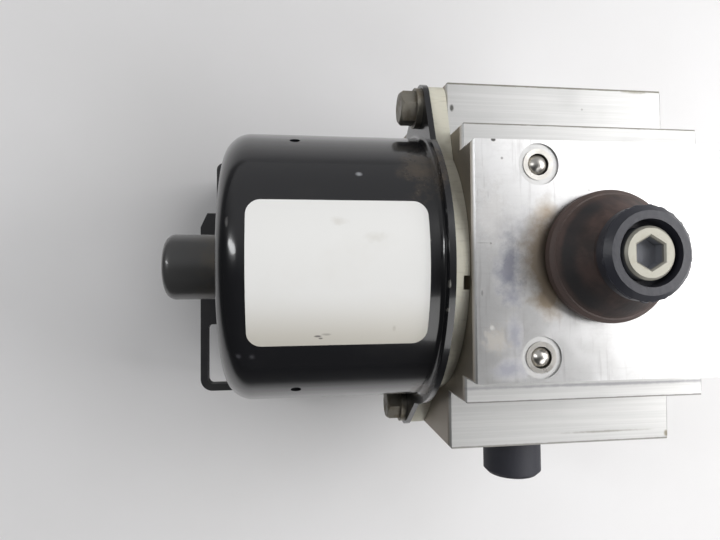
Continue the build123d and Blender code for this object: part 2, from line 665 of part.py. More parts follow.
def valve_body():
    """A valve cartridge hanging from Z = 0, its seat pressed into the block above and its sleeve below."""
    plunger_room = VALVE_SPRING_GAP + PLUNGER_LENGTH + PLUNGER_STROKE + RUNNING
    roof = SLEEVE_FLOOR - SLEEVE_REACH + plunger_room
    outside = [
        (0, VALVE_DEPTH), (VALVE_SEAT_RADIUS - 1, VALVE_DEPTH), (VALVE_SEAT_RADIUS, VALVE_DEPTH - 1),
        (VALVE_SEAT_RADIUS, 0), (SLEEVE_OUTER, 0), (SLEEVE_OUTER, -SLEEVE_REACH), (0, -SLEEVE_REACH),
    ]
    bore = [
        (0, VALVE_DEPTH - 2), (NEEDLE_PIN + RUNNING, VALVE_DEPTH - 2), (NEEDLE_PIN + RUNNING, roof),
        (SLEEVE_INNER, roof), (SLEEVE_INNER, SLEEVE_FLOOR - SLEEVE_REACH), (0, SLEEVE_FLOOR - SLEEVE_REACH),
    ]
    return turned(outside) - turned(bore)


def valve_plunger(spring_above):
    """The moving core and needle of one cartridge: the open valve's rests low, the shut valve's rests high."""
    base = SLEEVE_FLOOR - SLEEVE_REACH
    foot = base + RUNNING if spring_above else base + VALVE_SPRING_GAP + PLUNGER_STROKE
    tip = VALVE_DEPTH - 2 - RUNNING - (PLUNGER_STROKE if spring_above else 0)
    top = foot + PLUNGER_LENGTH
    radius = SLEEVE_INNER - RUNNING
    return turned([(0, foot), (radius, foot), (radius, top), (NEEDLE_PIN, top), (NEEDLE_PIN, tip), (0, tip)])


def valve_spring(spring_above):
    """The spring that opens or shuts one valve."""
    base = SLEEVE_FLOOR - SLEEVE_REACH
    if spring_above:
        start = base + RUNNING + PLUNGER_LENGTH
        length = VALVE_SPRING_GAP + PLUNGER_STROKE - RUNNING
    else:
        start = base
        length = VALVE_SPRING_GAP + PLUNGER_STROKE
    return Pos(0, 0, start) * coil_spring(SLEEVE_INNER - VALVE_WIRE, VALVE_WIRE, length, VALVE_SPRING_TURNS)


def solenoid_coil():
    """One wound bobbin around a valve sleeve, with two legs soldered to the board."""
    top = -2 * LOOSE - CASE_WALL
    base = top - COIL_HEIGHT
    coil = rod_z(COIL_RADIUS, base, top, 0, 0)
    for side in (1, -1):
        coil += rod_z(COIL_PIN, BOARD_TOP - BLOCK_BASE, base + 1, 0, side * (COIL_RADIUS - 1.5))
    return coil - rod_z(SLEEVE_OUTER + RUNNING, base - 1, top + 1, 0, 0)


def at_valves(piece, column):
    """Copies of a piece at the four places of one valve column."""
    return [Pos(x, y, BLOCK_BASE) * piece for x, y in valve_places(column)]


# --- block --------------------------------------------------------------------------------------------
def block_section():
    """The stepped section of the extruded bar."""
    outline = Rectangle(BODY_WIDTH, BLOCK_BELOW_AXIS + BODY_TOP, align=(Align.CENTER, Align.MIN))
    outline += Rectangle(SHELF_WIDTH, BLOCK_BELOW_AXIS + SHELF_TOP, align=(Align.CENTER, Align.MIN))
    outline += Rectangle(CROWN_WIDTH, BLOCK_BELOW_AXIS + CROWN_TOP, align=(Align.CENTER, Align.MIN))
    return outline


def port_places():
    """The six pipe ports on the far end, as (radius, y, z)."""
    places = []
    for side in (-1, 1):
        for level in (-1, 1):
            z = WHEEL_PORT_CENTRE_Z + level * WHEEL_PORT_PITCH_Z / 2
            places.append((WHEEL_PORT_RADIUS, side * WHEEL_PORT_PITCH_Y / 2, z))
        places.append((MASTER_PORT_RADIUS, side * MASTER_PORT_PITCH / 2, MASTER_PORT_Z))
    return places


def hydraulic_block():
    """The machined block with every bore it needs."""
    block = Pos(0, 0, BLOCK_BASE) * ACROSS * extrude(block_section(), BLOCK_LENGTH)
    ends = block.faces().filter_by(Axis.X).edges()
    block = chamfer(ends, BLOCK_EDGE)
    cuts = [rod_x(BEARING_RADIUS, -1, BEARING_START + BEARING_WIDTH)]
    cuts.append(rod_x(CHAMBER_RADIUS, 0, PUMP_X + ECCENTRIC_WIDTH / 2 + LOOSE))
    for side in (1, -1):
        span = sorted((0, side * (CYLINDER_START + 1)))
        cuts.append(rod_y(PISTON_RADIUS + RUNNING, *span, PUMP_X, AXIS_Z))
        span = sorted((side * CYLINDER_START, side * BODY_WIDTH))
        cuts.append(rod_y(CYLINDER_RADIUS, *span, PUMP_X, AXIS_Z))
        span = sorted((side * STORE_START, side * BODY_WIDTH))
        cuts.append(rod_y(STORE_RADIUS, *span, STORE_X, AXIS_Z + STORE_Z))
        drilling_y = side * BALL_PLUG_Y
        sleeve_base = CROWN_Z - SLEEVE_SINK - SLEEVE_LENGTH
        cuts.append(rod_z(PLUG_SEAT_RADIUS, CROWN_Z - PLUG_SEAT_DEPTH, CROWN_Z + 1, PUMP_X, drilling_y))
        cuts.append(rod_z(SLEEVE_RADIUS, sleeve_base, CROWN_Z + 1, PUMP_X, drilling_y))
        cuts.append(rod_z(DRILLING_RADIUS, AXIS_Z, sleeve_base + 1, PUMP_X, drilling_y))
    for column in range(len(VALVE_COLUMNS)):
        for x, y in valve_places(column):
            cuts.append(rod_z(VALVE_SEAT_RADIUS, BLOCK_BASE - 1, BLOCK_BASE + VALVE_DEPTH, x, y))
    for radius, y, z in port_places():
        cuts.append(rod_x(radius, BLOCK_LENGTH - PORT_DEPTH, BLOCK_LENGTH + 1, y, AXIS_Z + z))
        cuts.append(rod_x(radius + 2, BLOCK_LENGTH - PORT_SPOTFACE, BLOCK_LENGTH + 1, y, AXIS_Z + z))
    for y, z in ear_places():
        cuts.append(rod_x(MOTOR_SCREW_RADIUS, -1, MOTOR_SCREW_LENGTH + 2, y, z))
    for x in CASE_SCREW_X:
        for y in (-CASE_SCREW_Y, CASE_SCREW_Y):
            place_y = y + CONTROLLER_OFFSET_Y
            top = LID_THICKNESS + CASE_SCREW_LENGTH + 1
            cuts.append(rod_z(CASE_SCREW_RADIUS, BLOCK_BASE - 1, top, x, place_y))
    cuts.append(rod_z(STUD_RADIUS, CROWN_Z - STUD_DEPTH - 2, CROWN_Z + 1, TOP_MOUNT_X, TOP_MOUNT_Y))
    side_z = AXIS_Z + SIDE_MOUNT_Z
    cuts.append(rod_y(STUD_RADIUS, -BODY_WIDTH / 2 - 1, STUD_DEPTH + 2 - BODY_WIDTH / 2, SIDE_MOUNT_X, side_z))
    return block - cuts


# --- controller -----------------------------------------------------------------------------------------
def case_outline(inset):
    """The controller's plan, inset from its outer wall."""
    outline = Pos(CASE_MIDDLE_X, CONTROLLER_OFFSET_Y) * RectangleRounded(
        CASE_LENGTH - 2 * inset, CONTROLLER_WIDTH - 2 * inset, CASE_CORNER - inset * 0.6
    )
    pocket = Rectangle(CASE_POCKET + inset, SOCKET_START_Y - CASE_LOW_Y + inset, align=(Align.MIN, Align.MIN))
    return outline - Pos(CASE_END, CASE_LOW_Y) * pocket


def guard_rail():
    """The rail moulded outside the end wall, with a window behind its bar, running into the plug socket."""
    inner_end = CASE_END + CASE_POCKET
    outline = Pos(inner_end + CASE_WALL / 2, CASE_LOW_Y) * Rectangle(
        RAIL_REACH + CASE_POCKET + CASE_WALL / 2, RAIL_WINDOW + RAIL_BAR + SOCKET_WIDTH / 2,
        align=(Align.MAX, Align.MIN),
    )
    outline = fillet(outline.vertices().group_by(Axis.X)[0].sort_by(Axis.Y)[0], RAIL_CORNER)
    window = Pos(inner_end, CASE_LOW_Y + RAIL_BAR) * Rectangle(
        RAIL_REACH + CASE_POCKET - RAIL_BAR, RAIL_WINDOW, align=(Align.MAX, Align.MIN)
    )
    window = fillet(window.vertices().group_by(Axis.X)[0], RAIL_CORNER - RAIL_BAR)
    return Pos(0, 0, CONTROLLER_HEIGHT - RAIL_HEIGHT) * extrude(outline - window, RAIL_HEIGHT)


def socket_block():
    """The plug socket's outer walls, one far corner cut off on a slant."""
    depth = RAIL_REACH + SOCKET_DEEP + SOCKET_WALL
    width = SOCKET_WIDTH + SOCKET_SHOULDER
    outline = Pos(CASE_END - RAIL_REACH, SOCKET_START_Y) * Rectangle(depth, width, align=(Align.MIN, Align.MIN))
    corner = (CASE_END - RAIL_REACH, SOCKET_START_Y + width)
    slant = Polyline(
        corner, (corner[0] + SHOULDER_SLANT[0], corner[1]), (corner[0], corner[1] - SHOULDER_SLANT[1]), close=True
    )
    outline -= make_face(slant)
    return Pos(0, 0, SOCKET_BASE) * extrude(outline, CONTROLLER_HEIGHT - SOCKET_BASE)


def socket_mouth():
    """The hollow that the wiring plug enters."""
    width = (SOCKET_START_Y + SOCKET_WALL, SOCKET_START_Y + SOCKET_WIDTH - SOCKET_WALL)
    height = (SOCKET_BASE + SOCKET_WALL, CONTROLLER_HEIGHT - SOCKET_WALL)
    return brick((CASE_END - RAIL_REACH - 1, SOCKET_FLOOR), width, height)


def pin_places():
    """Where the socket's pins stand, as (y, z)."""
    middle_y = SOCKET_START_Y + SOCKET_WIDTH / 2
    middle_z = (SOCKET_BASE + CONTROLLER_HEIGHT) / 2
    places = []
    for row in range(PIN_ROWS):
        z = middle_z + 2 * PIN_PITCH * (row - (PIN_ROWS - 1) / 2)
        for index in range(PINS_IN_ROW):
            places.append((middle_y + PIN_PITCH * (index - (PINS_IN_ROW - 1) / 2), z))
    return places


def connector_pins():
    """The socket's square pins, each bent down to the board behind the socket's floor."""
    pins = []
    for index, (y, z) in enumerate(pin_places()):
        row = index // PINS_IN_ROW
        heel = BOARD_START + 2 + 2 * row
        width = (y - PIN_SIZE / 2, y + PIN_SIZE / 2)
        blade = brick((SOCKET_FLOOR - PIN_LENGTH, heel + PIN_SIZE), width, (z - PIN_SIZE / 2, z + PIN_SIZE / 2))
        leg = brick((heel, heel + PIN_SIZE), width, (BOARD_TOP, z))
        pins.append(blade + leg)
    return pins


def pin_tunnels():
    """The holes in the socket's floor that the pins pass through."""
    tunnels = []
    half = PIN_SIZE / 2
    for y, z in pin_places():
        tunnels.append(brick((SOCKET_FLOOR - 1, BOARD_START), (y - half, y + half), (z - half, z + half)))
    return tunnels


def case_screw_places():
    """Where the four controller screws stand, as (x, y)."""
    return [(x, CONTROLLER_OFFSET_Y + y) for x in CASE_SCREW_X for y in (-CASE_SCREW_Y, CASE_SCREW_Y)]


def seal_ring(width, start, end):
    """A rectangular ring round the valves, of the given width, between two heights."""
    middle_x = sum(VALVE_COLUMNS) / 2
    outer = RectangleRounded(SEAL_SIZE[0] + width, SEAL_SIZE[1] + width, SEAL_CORNER)
    inner = RectangleRounded(SEAL_SIZE[0] - width, SEAL_SIZE[1] - width, SEAL_CORNER - width)
    return Pos(middle_x, CONTROLLER_OFFSET_Y, start) * extrude(outer - inner, end - start)


def controller_seal():
    """The gasket pressed between case and block."""
    return seal_ring(SEAL_WIDTH, CONTROLLER_HEIGHT - SEAL_GROOVE, BLOCK_BASE)


def controller_case():
    """The moulded box that holds coils, board and plug socket, open below and over the valves."""
    case = Pos(0, 0, LID_THICKNESS) * extrude(case_outline(0), CONTROLLER_HEIGHT - LID_THICKNESS)
    case = chamfer(case.faces().sort_by(Axis.Z)[-1].edges(), 0.8)
    hollow_height = CONTROLLER_HEIGHT - LID_THICKNESS - CASE_WALL
    case -= Pos(0, 0, LID_THICKNESS - 1) * extrude(case_outline(CASE_WALL), hollow_height + 1)
    case += guard_rail() + socket_block()
    cuts = [socket_mouth(), seal_ring(SEAL_WIDTH, CONTROLLER_HEIGHT - SEAL_GROOVE, CONTROLLER_HEIGHT + 1)]
    cuts += pin_tunnels() + motor_contacts()
    for column in range(len(VALVE_COLUMNS)):
        for x, y in valve_places(column):
            cuts.append(rod_z(SLEEVE_OUTER + LOOSE, BOARD_TOP, CONTROLLER_HEIGHT + 1, x, y))
    for x, y in case_screw_places():
        case += rod_z(PILLAR_RADIUS, BOARD_TOP, CONTROLLER_HEIGHT - CASE_WALL, x, y)
        cuts.append(rod_z(CASE_SCREW_RADIUS + LOOSE, 0, CONTROLLER_HEIGHT + 1, x, y))
    return case - cuts


def controller_lid():
    """The plate under the box, with a post below the board at each screw."""
    lid = extrude(case_outline(0), LID_THICKNESS)
    lid = chamfer(lid.faces().sort_by(Axis.Z)[0].edges(), 0.8)
    for x, y in case_screw_places():
        lid += rod_z(PILLAR_RADIUS, LID_THICKNESS, BOARD_HEIGHT, x, y)
    for x, y in case_screw_places():
        lid -= rod_z(CASE_SCREW_HEAD + LOOSE, -1, LID_THICKNESS - 0.6, x, y)
        lid -= rod_z(CASE_SCREW_RADIUS + LOOSE, 0, BOARD_HEIGHT + 1, x, y)
    return lid


def circuit_board():
    """The board clamped between the case's pillars and the lid's posts."""
    end = CASE_FRONT - CASE_WALL - LOOSE
    width = CONTROLLER_WIDTH - 2 * CASE_WALL - 2 * LOOSE
    outline = Pos((BOARD_START + end) / 2, CONTROLLER_OFFSET_Y) * RectangleRounded(
        end - BOARD_START, width, CASE_CORNER - CASE_WALL * 0.6
    )
    board = Pos(0, 0, BOARD_HEIGHT) * extrude(outline, BOARD_THICKNESS)
    for x, y in case_screw_places():
        board -= rod_z(CASE_SCREW_RADIUS + LOOSE, 0, BOARD_TOP + 1, x, y)
    return board


def standing_box(size, x, y):
    """A component of the given size standing on the board."""
    return Pos(x, y, BOARD_TOP) * Box(*size, align=(Align.CENTER, Align.CENTER, Align.MIN))


def board_components():
    """The relays, processor and capacitor soldered to the board under the motor."""
    clear_y = CONTROLLER_WIDTH / 4
    capacitor = rod_z(CAPACITOR_RADIUS, BOARD_TOP, BOARD_TOP + CAPACITOR_LENGTH, -CAPACITOR_LENGTH, clear_y)
    return [
        standing_box(RELAY_SIZE, -RELAY_SIZE[0], -clear_y),
        standing_box(RELAY_SIZE, -RELAY_SIZE[0] * 2.2, -clear_y),
        standing_box(CHIP_SIZE, -RELAY_SIZE[0] * 2, clear_y - CONTROLLER_OFFSET_Y),
        capacitor,
    ]


def controller_screws():
    """The four screws that hold the controller to the block."""
    seat = LID_THICKNESS - 0.6
    screws = []
    for x, y in case_screw_places():
        head = rod_z(CASE_SCREW_HEAD, 0.3, seat, x, y)
        screws.append(head + rod_z(CASE_SCREW_RADIUS, seat, seat + CASE_SCREW_LENGTH, x, y))
    return screws


# --- rubber mounts ----------------------------------------------------------------------------------------
def rubber_bush(height, taper, waist, collar):
    """A waisted rubber mount standing on Z = 0: foot, taper, waist and collar."""
    root, taper_length = taper
    radius, collar_length = collar
    collar_start = height - collar_length
    profile = [
        (STUD_SHANK, 0), (FOOT_RADIUS - 0.8, 0), (FOOT_RADIUS, 0.8), (FOOT_RADIUS, FOOT_THICKNESS - 0.8),
        (FOOT_RADIUS - 0.8, FOOT_THICKNESS), (root, FOOT_THICKNESS), (waist, FOOT_THICKNESS + taper_length),
        (waist, collar_start), (radius, collar_start + 0.8), (radius, height - 1.2),
        (radius - 1.2, height), (CUP_RADIUS, height), (CUP_RADIUS, height - CUP_DEPTH),
        (STUD_SHANK, height - CUP_DEPTH),
    ]
    return turned(profile)


def mount_stud(height):
    """The steel stud through a rubber mount, with a hexagon socket in its head."""
    seat = height - CUP_DEPTH
    profile = [
        (0, -STUD_DEPTH), (STUD_RADIUS, -STUD_DEPTH), (STUD_RADIUS, 0), (STUD_SHANK, 0), (STUD_SHANK, seat),
        (STUD_HEAD_RADIUS, seat), (STUD_HEAD_RADIUS, seat + STUD_HEAD_HEIGHT - 0.5),
        (STUD_HEAD_RADIUS - 0.5, seat + STUD_HEAD_HEIGHT), (0, seat + STUD_HEAD_HEIGHT),
    ]
    hexagon = RegularPolygon(SOCKET_ACROSS_FLATS / 2, 6, major_radius=False, rotation=30)
    stud = turned(profile) - Pos(0, 0, seat + STUD_HEAD_HEIGHT - SOCKET_DEPTH) * extrude(hexagon, SOCKET_DEPTH)
    mouth = stud.faces().filter_by(Axis.Z).sort_by(Axis.Z)[-1].edges().filter_by(GeomType.LINE)
    return chamfer(mouth, SOCKET_BEVEL)


def on_top(piece):
    """A mount piece stood on the block's crown."""
    return Pos(TOP_MOUNT_X, TOP_MOUNT_Y, CROWN_Z) * piece


def on_side(piece):
    """A mount piece laid outwards from the block's side."""
    return Pos(SIDE_MOUNT_X, -BODY_WIDTH / 2, AXIS_Z + SIDE_MOUNT_Z) * Rot(90, 0, 0) * piece


def build_parts():
    """Every sub-part of the modulator by name."""
    outer_race, inner_race, balls = front_bearing()
    parts = {
        "hydraulic_block": hydraulic_block(),
        "motor_can": motor_can(),
        "motor_end_plate": motor_end_plate(),
        "motor_screws": motor_screws(),
        "can_label": can_label(),
        "rotor_shaft": rotor_shaft(),
        "rear_bush": rear_bush(),
        "armature_core": armature_core(),
        "armature_winding": armature_winding(),
        "commutator": commutator(),
        "field_magnets": field_magnets(),
        "bearing_outer_race": outer_race,
        "bearing_inner_race": inner_race,
        "bearing_balls": balls,
        "eccentric_ring": eccentric_ring(),
        "eccentric_needles": eccentric_needles(),
        "pump_plugs": pump_plugs(),
        "ball_plug_sleeves": ball_plug_sleeves(),
        "plug_balls": plug_balls(),
        "accumulator_caps": store_caps(),
        "inlet_valve_bodies": at_valves(valve_body(), 0),
        "outlet_valve_bodies": at_valves(valve_body(), 1),
        "solenoid_coils": at_valves(solenoid_coil(), 0) + at_valves(solenoid_coil(), 1),
        "inlet_valve_springs": at_valves(valve_spring(True), 0),
        "outlet_valve_springs": at_valves(valve_spring(False), 1),
        "motor_contacts": motor_contacts(),
        "controller_case": controller_case(),
        "controller_seal": controller_seal(),
        "connector_pins": connector_pins(),
        "board_components": board_components(),
        "controller_lid": controller_lid(),
        "circuit_board": circuit_board(),
        "controller_screws": controller_screws(),
        "top_mount_rubber": on_top(rubber_bush(TOP_MOUNT_HEIGHT, TOP_TAPER, TOP_WAIST_RADIUS, TOP_COLLAR)),
        "top_mount_stud": on_top(mount_stud(TOP_MOUNT_HEIGHT)),
        "side_mount_rubber": on_side(rubber_bush(SIDE_MOUNT_HEIGHT, SIDE_TAPER, SIDE_WAIST_RADIUS, SIDE_COLLAR)),
        "side_mount_stud": on_side(mount_stud(SIDE_MOUNT_HEIGHT)),
    }
    for name, side in (("near", -1), ("far", 1)):
        parts[f"brush_{name}"] = brush(side)
        parts[f"brush_spring_{name}"] = brush_spring(side)
        parts[f"pump_piston_{name}"] = pump_piston(side)
        parts[f"pump_spring_{name}"] = pump_spring(side)
        parts[f"accumulator_piston_{name}"] = store_piston(side)
        parts[f"accumulator_spring_{name}"] = store_spring(side)
    for column, kind in enumerate(("inlet", "outlet")):
        for index, plunger in enumerate(at_valves(valve_plunger(kind == "inlet"), column), start=1):
            parts[f"{kind}_plunger_{index}"] = plunger
    return parts


os.makedirs("parts", exist_ok=True)
for name, shape in build_parts().items():
    piece = Compound(children=list(shape)) if isinstance(shape, list) else shape
    export_step(piece, f"parts/{name}.step")
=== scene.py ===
"""Looks of an anti-lock brake modulator: finishes, small surface pieces, table, light and camera.

Lengths are metres in the part's own frame: +X runs along the motor's axis towards the hydraulic block,
+Z is up, and the controller's underside is Z = 0.
"""

import json
import logging
import math
from dataclasses import dataclass
from enum import Enum

import bmesh
import bpy
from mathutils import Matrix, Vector


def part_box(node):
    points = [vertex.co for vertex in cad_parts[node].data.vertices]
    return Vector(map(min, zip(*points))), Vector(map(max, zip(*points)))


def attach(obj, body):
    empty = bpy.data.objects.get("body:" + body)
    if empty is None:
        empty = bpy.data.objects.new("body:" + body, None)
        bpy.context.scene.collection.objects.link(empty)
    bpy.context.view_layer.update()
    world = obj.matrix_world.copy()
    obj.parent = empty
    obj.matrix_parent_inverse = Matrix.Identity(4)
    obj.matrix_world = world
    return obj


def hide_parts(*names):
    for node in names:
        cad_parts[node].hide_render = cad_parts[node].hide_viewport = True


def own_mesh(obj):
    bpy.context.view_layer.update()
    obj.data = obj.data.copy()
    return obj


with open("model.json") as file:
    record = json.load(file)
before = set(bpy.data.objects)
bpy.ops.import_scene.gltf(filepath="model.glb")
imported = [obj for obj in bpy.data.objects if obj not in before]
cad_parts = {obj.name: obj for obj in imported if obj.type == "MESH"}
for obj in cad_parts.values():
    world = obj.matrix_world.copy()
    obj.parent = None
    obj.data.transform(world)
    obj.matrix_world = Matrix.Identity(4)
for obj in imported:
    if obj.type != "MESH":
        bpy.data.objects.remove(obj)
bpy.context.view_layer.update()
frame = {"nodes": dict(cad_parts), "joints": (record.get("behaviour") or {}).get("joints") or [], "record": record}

logging.basicConfig(level=logging.INFO, format="%(message)s")
LOG = logging.getLogger("modulator")

MM = 0.001
LABEL_SETBACK = 7.2        # from the can's closed end to the label's edge, in millimetres
FILM_WIDTH = 36.0          # of the camera, in millimetres
ROOM_DARK = (0.045, 0.045, 0.045)
BACKDROP = (0.42, 0.42, 0.43)
Colour = tuple[float, float, float]


class Slot(str, Enum):
    """Material slots of the record."""

    BLOCK = "block_aluminium"
    CAN = "can_paint"
    NYLON = "nylon"
    SCREW = "screw_steel"
    STUD = "stud_steel"
    LABEL = "label_paper"
    RUBBER = "mount_rubber"
    CASE = "case_plastic"
    PLUG = "plug_steel"
    INNER = "inner_steel"
    COPPER = "copper"
    MAGNET = "magnet"
    CARBON = "carbon"
    BOARD = "board"
    COIL = "coil_plastic"
    SEAL = "seal_rubber"
    CONTACT = "contact_metal"
    BRONZE = "bronze"


class Body(str, Enum):
    """Rigid bodies that pieces ride on."""

    HOUSING = "housing"


# --- places read from the frame ---------------------------------------------------------------------


@dataclass(frozen=True)
class Places:
    """Positions that finishes and pieces share, worked out from the CAD nodes' boxes.

    Attributes:
        axis_z: Height of the motor's axis.
        crown_z: Height of the block's top face.
        block_end: Station of the block's far end.
        can_end: Station of the can's closed end, without its boss.
        mount: Centre of the top rubber mount on the crown.
        stud_top: Height of the top stud's head.
        collar_top: Height of the top mount's collar.
    """

    axis_z: float
    crown_z: float
    block_end: float
    can_end: float
    mount: Vector
    stud_top: float
    collar_top: float

    @classmethod
    def from_frame(cls) -> "Places":
        """Reads the places from the loaded CAD nodes.

        Returns:
            The filled record.
        """
        _, block_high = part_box("hydraulic_block")
        shaft_low, shaft_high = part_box("bearing_outer_race")
        label_low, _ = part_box("can_label")
        rubber_low, rubber_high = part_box("top_mount_rubber")
        _, stud_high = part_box("top_mount_stud")
        axis_z = (shaft_low[2] + shaft_high[2]) / 2
        return cls(
            axis_z=axis_z,
            crown_z=block_high[2],
            block_end=block_high[0],
            can_end=label_low[0] - LABEL_SETBACK * MM,
            mount=Vector((
                (rubber_low[0] + rubber_high[0]) / 2,
                (rubber_low[1] + rubber_high[1]) / 2,
                block_high[2],
            )),
            stud_top=stud_high[2],
            collar_top=rubber_high[2],
        )


# --- node helpers -----------------------------------------------------------------------------------


class Graph:
    """A thin wrapper that adds and links shader nodes.

    Attributes:
        tree: The node tree being filled.
    """

    def __init__(self, tree: bpy.types.NodeTree) -> None:
        """Keeps the tree.

        Args:
            tree: A material's or a group's node tree.
        """
        self.tree = tree

    def node(self, kind: str, **settings: object) -> bpy.types.Node:
        """Adds a node.

        Args:
            kind: Blender's node type name.
            **settings: Attributes to set on the node.

        Returns:
            The new node.
        """
        made = self.tree.nodes.new(kind)
        for name, value in settings.items():
            setattr(made, name, value)
        return made

    def join(self, source: object, target: object) -> None:
        """Links an output, or sets a plain value, on an input.

        Args:
            source: An output socket or a value.
            target: The input socket.
        """
        if isinstance(source, bpy.types.NodeSocket):
            self.tree.links.new(source, target)
        else:
            target.default_value = source

    def math(self, operation: str, first: object, second: object = 0.0, clamp: bool = False) -> object:
        """Adds a Math node.

        Args:
            operation: The Math operation.
            first: First value or socket.
            second: Second value or socket.
            clamp: Whether the result is held to 0..1.

        Returns:
            The value output.
        """
        made = self.node("ShaderNodeMath", operation=operation, use_clamp=clamp)
        self.join(first, made.inputs[0])
        self.join(second, made.inputs[1])
        return made.outputs[0]

    def mix(self, factor: object, first: object, second: object, blend: str = "MIX") -> object:
        """Mixes two colours.

        Args:
            factor: Share of the second colour.
            first: First colour or socket.
            second: Second colour or socket.
            blend: Blend type.

        Returns:
            The colour output.
        """
        made = self.node("ShaderNodeMix", data_type="RGBA", blend_type=blend)
        self.join(factor, made.inputs["Factor"])
        self.join(rgba(first), made.inputs[6])
        self.join(rgba(second), made.inputs[7])
        return made.outputs[2]

    def ramp(self, value: object, low: float, high: float, smooth: bool = True) -> object:
        """Maps a value from low..high to 0..1, clamped.

        Args:
            value: The value or socket.
            low: Value that becomes 0.
            high: Value that becomes 1.
            smooth: Whether the ends are eased.

        Returns:
            The value output.
        """
        made = self.node("ShaderNodeMapRange", interpolation_type="SMOOTHSTEP" if smooth else "LINEAR")
        self.join(value, made.inputs["Value"])
        made.inputs["From Min"].default_value = low
        made.inputs["From Max"].default_value = high
        return made.outputs[0]

    def noise(self, vector: object, scale: object, detail: float = 4.0, roughness: float = 0.55) -> object:
        """Adds a Noise texture.

        Args:
            vector: The coordinates.
            scale: Noise scale.
            detail: Number of octaves.
            roughness: Weight of the octaves.

        Returns:
            The noise value, about 0.2 to 0.8.
        """
        made = self.node("ShaderNodeTexNoise")
        self.join(vector, made.inputs["Vector"])
        self.join(scale, made.inputs["Scale"])
        made.inputs["Detail"].default_value = detail
        made.inputs["Roughness"].default_value = roughness
        return made.outputs[0]

    def place(self) -> object:
        """Object coordinates.

        Returns:
            The vector output.
        """
        return self.node("ShaderNodeTexCoord").outputs["Object"]

    def parts(self, vector: object) -> tuple[object, object, object]:
        """Splits a vector.

        Args:
            vector: A vector socket.

        Returns:
            Its X, Y and Z outputs.
        """
        made = self.node("ShaderNodeSeparateXYZ")
        self.join(vector, made.inputs[0])
        return made.outputs[0], made.outputs[1], made.outputs[2]

    def mapped(self, vector: object, scale: tuple[float, float, float], move: Vector | None = None) -> object:
        """Moves and then stretches coordinates.

        Args:
            vector: The coordinates.
            scale: Factor along each axis.
            move: A point that becomes the middle of the pattern.

        Returns:
            The changed coordinates.
        """
        made = self.node("ShaderNodeMapping", vector_type="POINT")
        self.join(vector, made.inputs["Vector"])
        made.inputs["Scale"].default_value = scale
        if move is not None:
            made.inputs["Location"].default_value = [-m * s for m, s in zip(move, scale)]
        return made.outputs[0]

    def use(self, group: bpy.types.NodeTree, **values: object) -> bpy.types.Node:
        """Adds a shared group.

        Args:
            group: The node group.
            **values: Its inputs by name, with underscores for spaces.

        Returns:
            The group node.
        """
        made = self.node("ShaderNodeGroup", node_tree=group)
        for name, value in values.items():
            self.join(value, made.inputs[name.replace("_", " ")])
        return made


def rgba(colour: object) -> object:
    """Gives a plain colour its alpha.

    Args:
        colour: Three numbers, or a socket.

    Returns:
        Four numbers, or the socket unchanged.
    """
    return colour if isinstance(colour, bpy.types.NodeSocket) else (*colour, 1.0)


def new_group(
    name: str, inputs: dict[str, tuple[str, object]], outputs: dict[str, str]
) -> tuple[Graph, object, object]:
    """Starts a shared shader group.

    Args:
        name: The group's name.
        inputs: Socket type and default by input name.
        outputs: Socket type by output name.

    Returns:
        The graph, its input node and its output node.
    """
    tree = bpy.data.node_groups.new(name, "ShaderNodeTree")
    for label, (kind, value) in inputs.items():
        socket = tree.interface.new_socket(label, in_out="INPUT", socket_type=kind)
        if value is not None:
            socket.default_value = value
    for label, kind in outputs.items():
        tree.interface.new_socket(label, in_out="OUTPUT", socket_type=kind)
    graph = Graph(tree)
    return graph, graph.node("NodeGroupInput"), graph.node("NodeGroupOutput")


FLOAT = "NodeSocketFloat"
VECTOR = "NodeSocketVector"


def make_blotch_group() -> bpy.types.NodeTree:
    """Cloudy patches: a mask that is 1 inside a patch.

    Returns:
        The node group.
    """
    graph, source, sink = new_group(
        "Blotches",
        {"Vector": (VECTOR, None), "Scale": (FLOAT, 60.0), "Cover": (FLOAT, 0.5), "Soft": (FLOAT, 0.1)},
        {"Mask": FLOAT},
    )
    coarse = graph.noise(source.outputs["Vector"], source.outputs["Scale"], 6.0, 0.6)
    start = graph.math("SUBTRACT", 1.0, source.outputs["Cover"])
    above = graph.math("SUBTRACT", coarse, start)
    mask = graph.math("DIVIDE", above, source.outputs["Soft"], clamp=True)
    graph.join(mask, sink.inputs["Mask"])
    return graph.tree


def make_grain_group() -> bpy.types.NodeTree:
    """Fine lines along one direction, as a value and as a bumped normal.

    Returns:
        The node group.
    """
    graph, source, sink = new_group(
        "Grain",
        {"Vector": (VECTOR, None), "Strength": (FLOAT, 0.2), "Depth": (FLOAT, 0.00002)},
        {"Value": FLOAT, "Normal": VECTOR},
    )
    value = graph.noise(source.outputs["Vector"], 1.0, 3.0, 0.7)
    bump = graph.node("ShaderNodeBump")
    graph.join(value, bump.inputs["Height"])
    graph.join(source.outputs["Strength"], bump.inputs["Strength"])
    graph.join(source.outputs["Depth"], bump.inputs["Distance"])
    graph.join(value, sink.inputs["Value"])
    graph.join(bump.outputs[0], sink.inputs["Normal"])
    return graph.tree


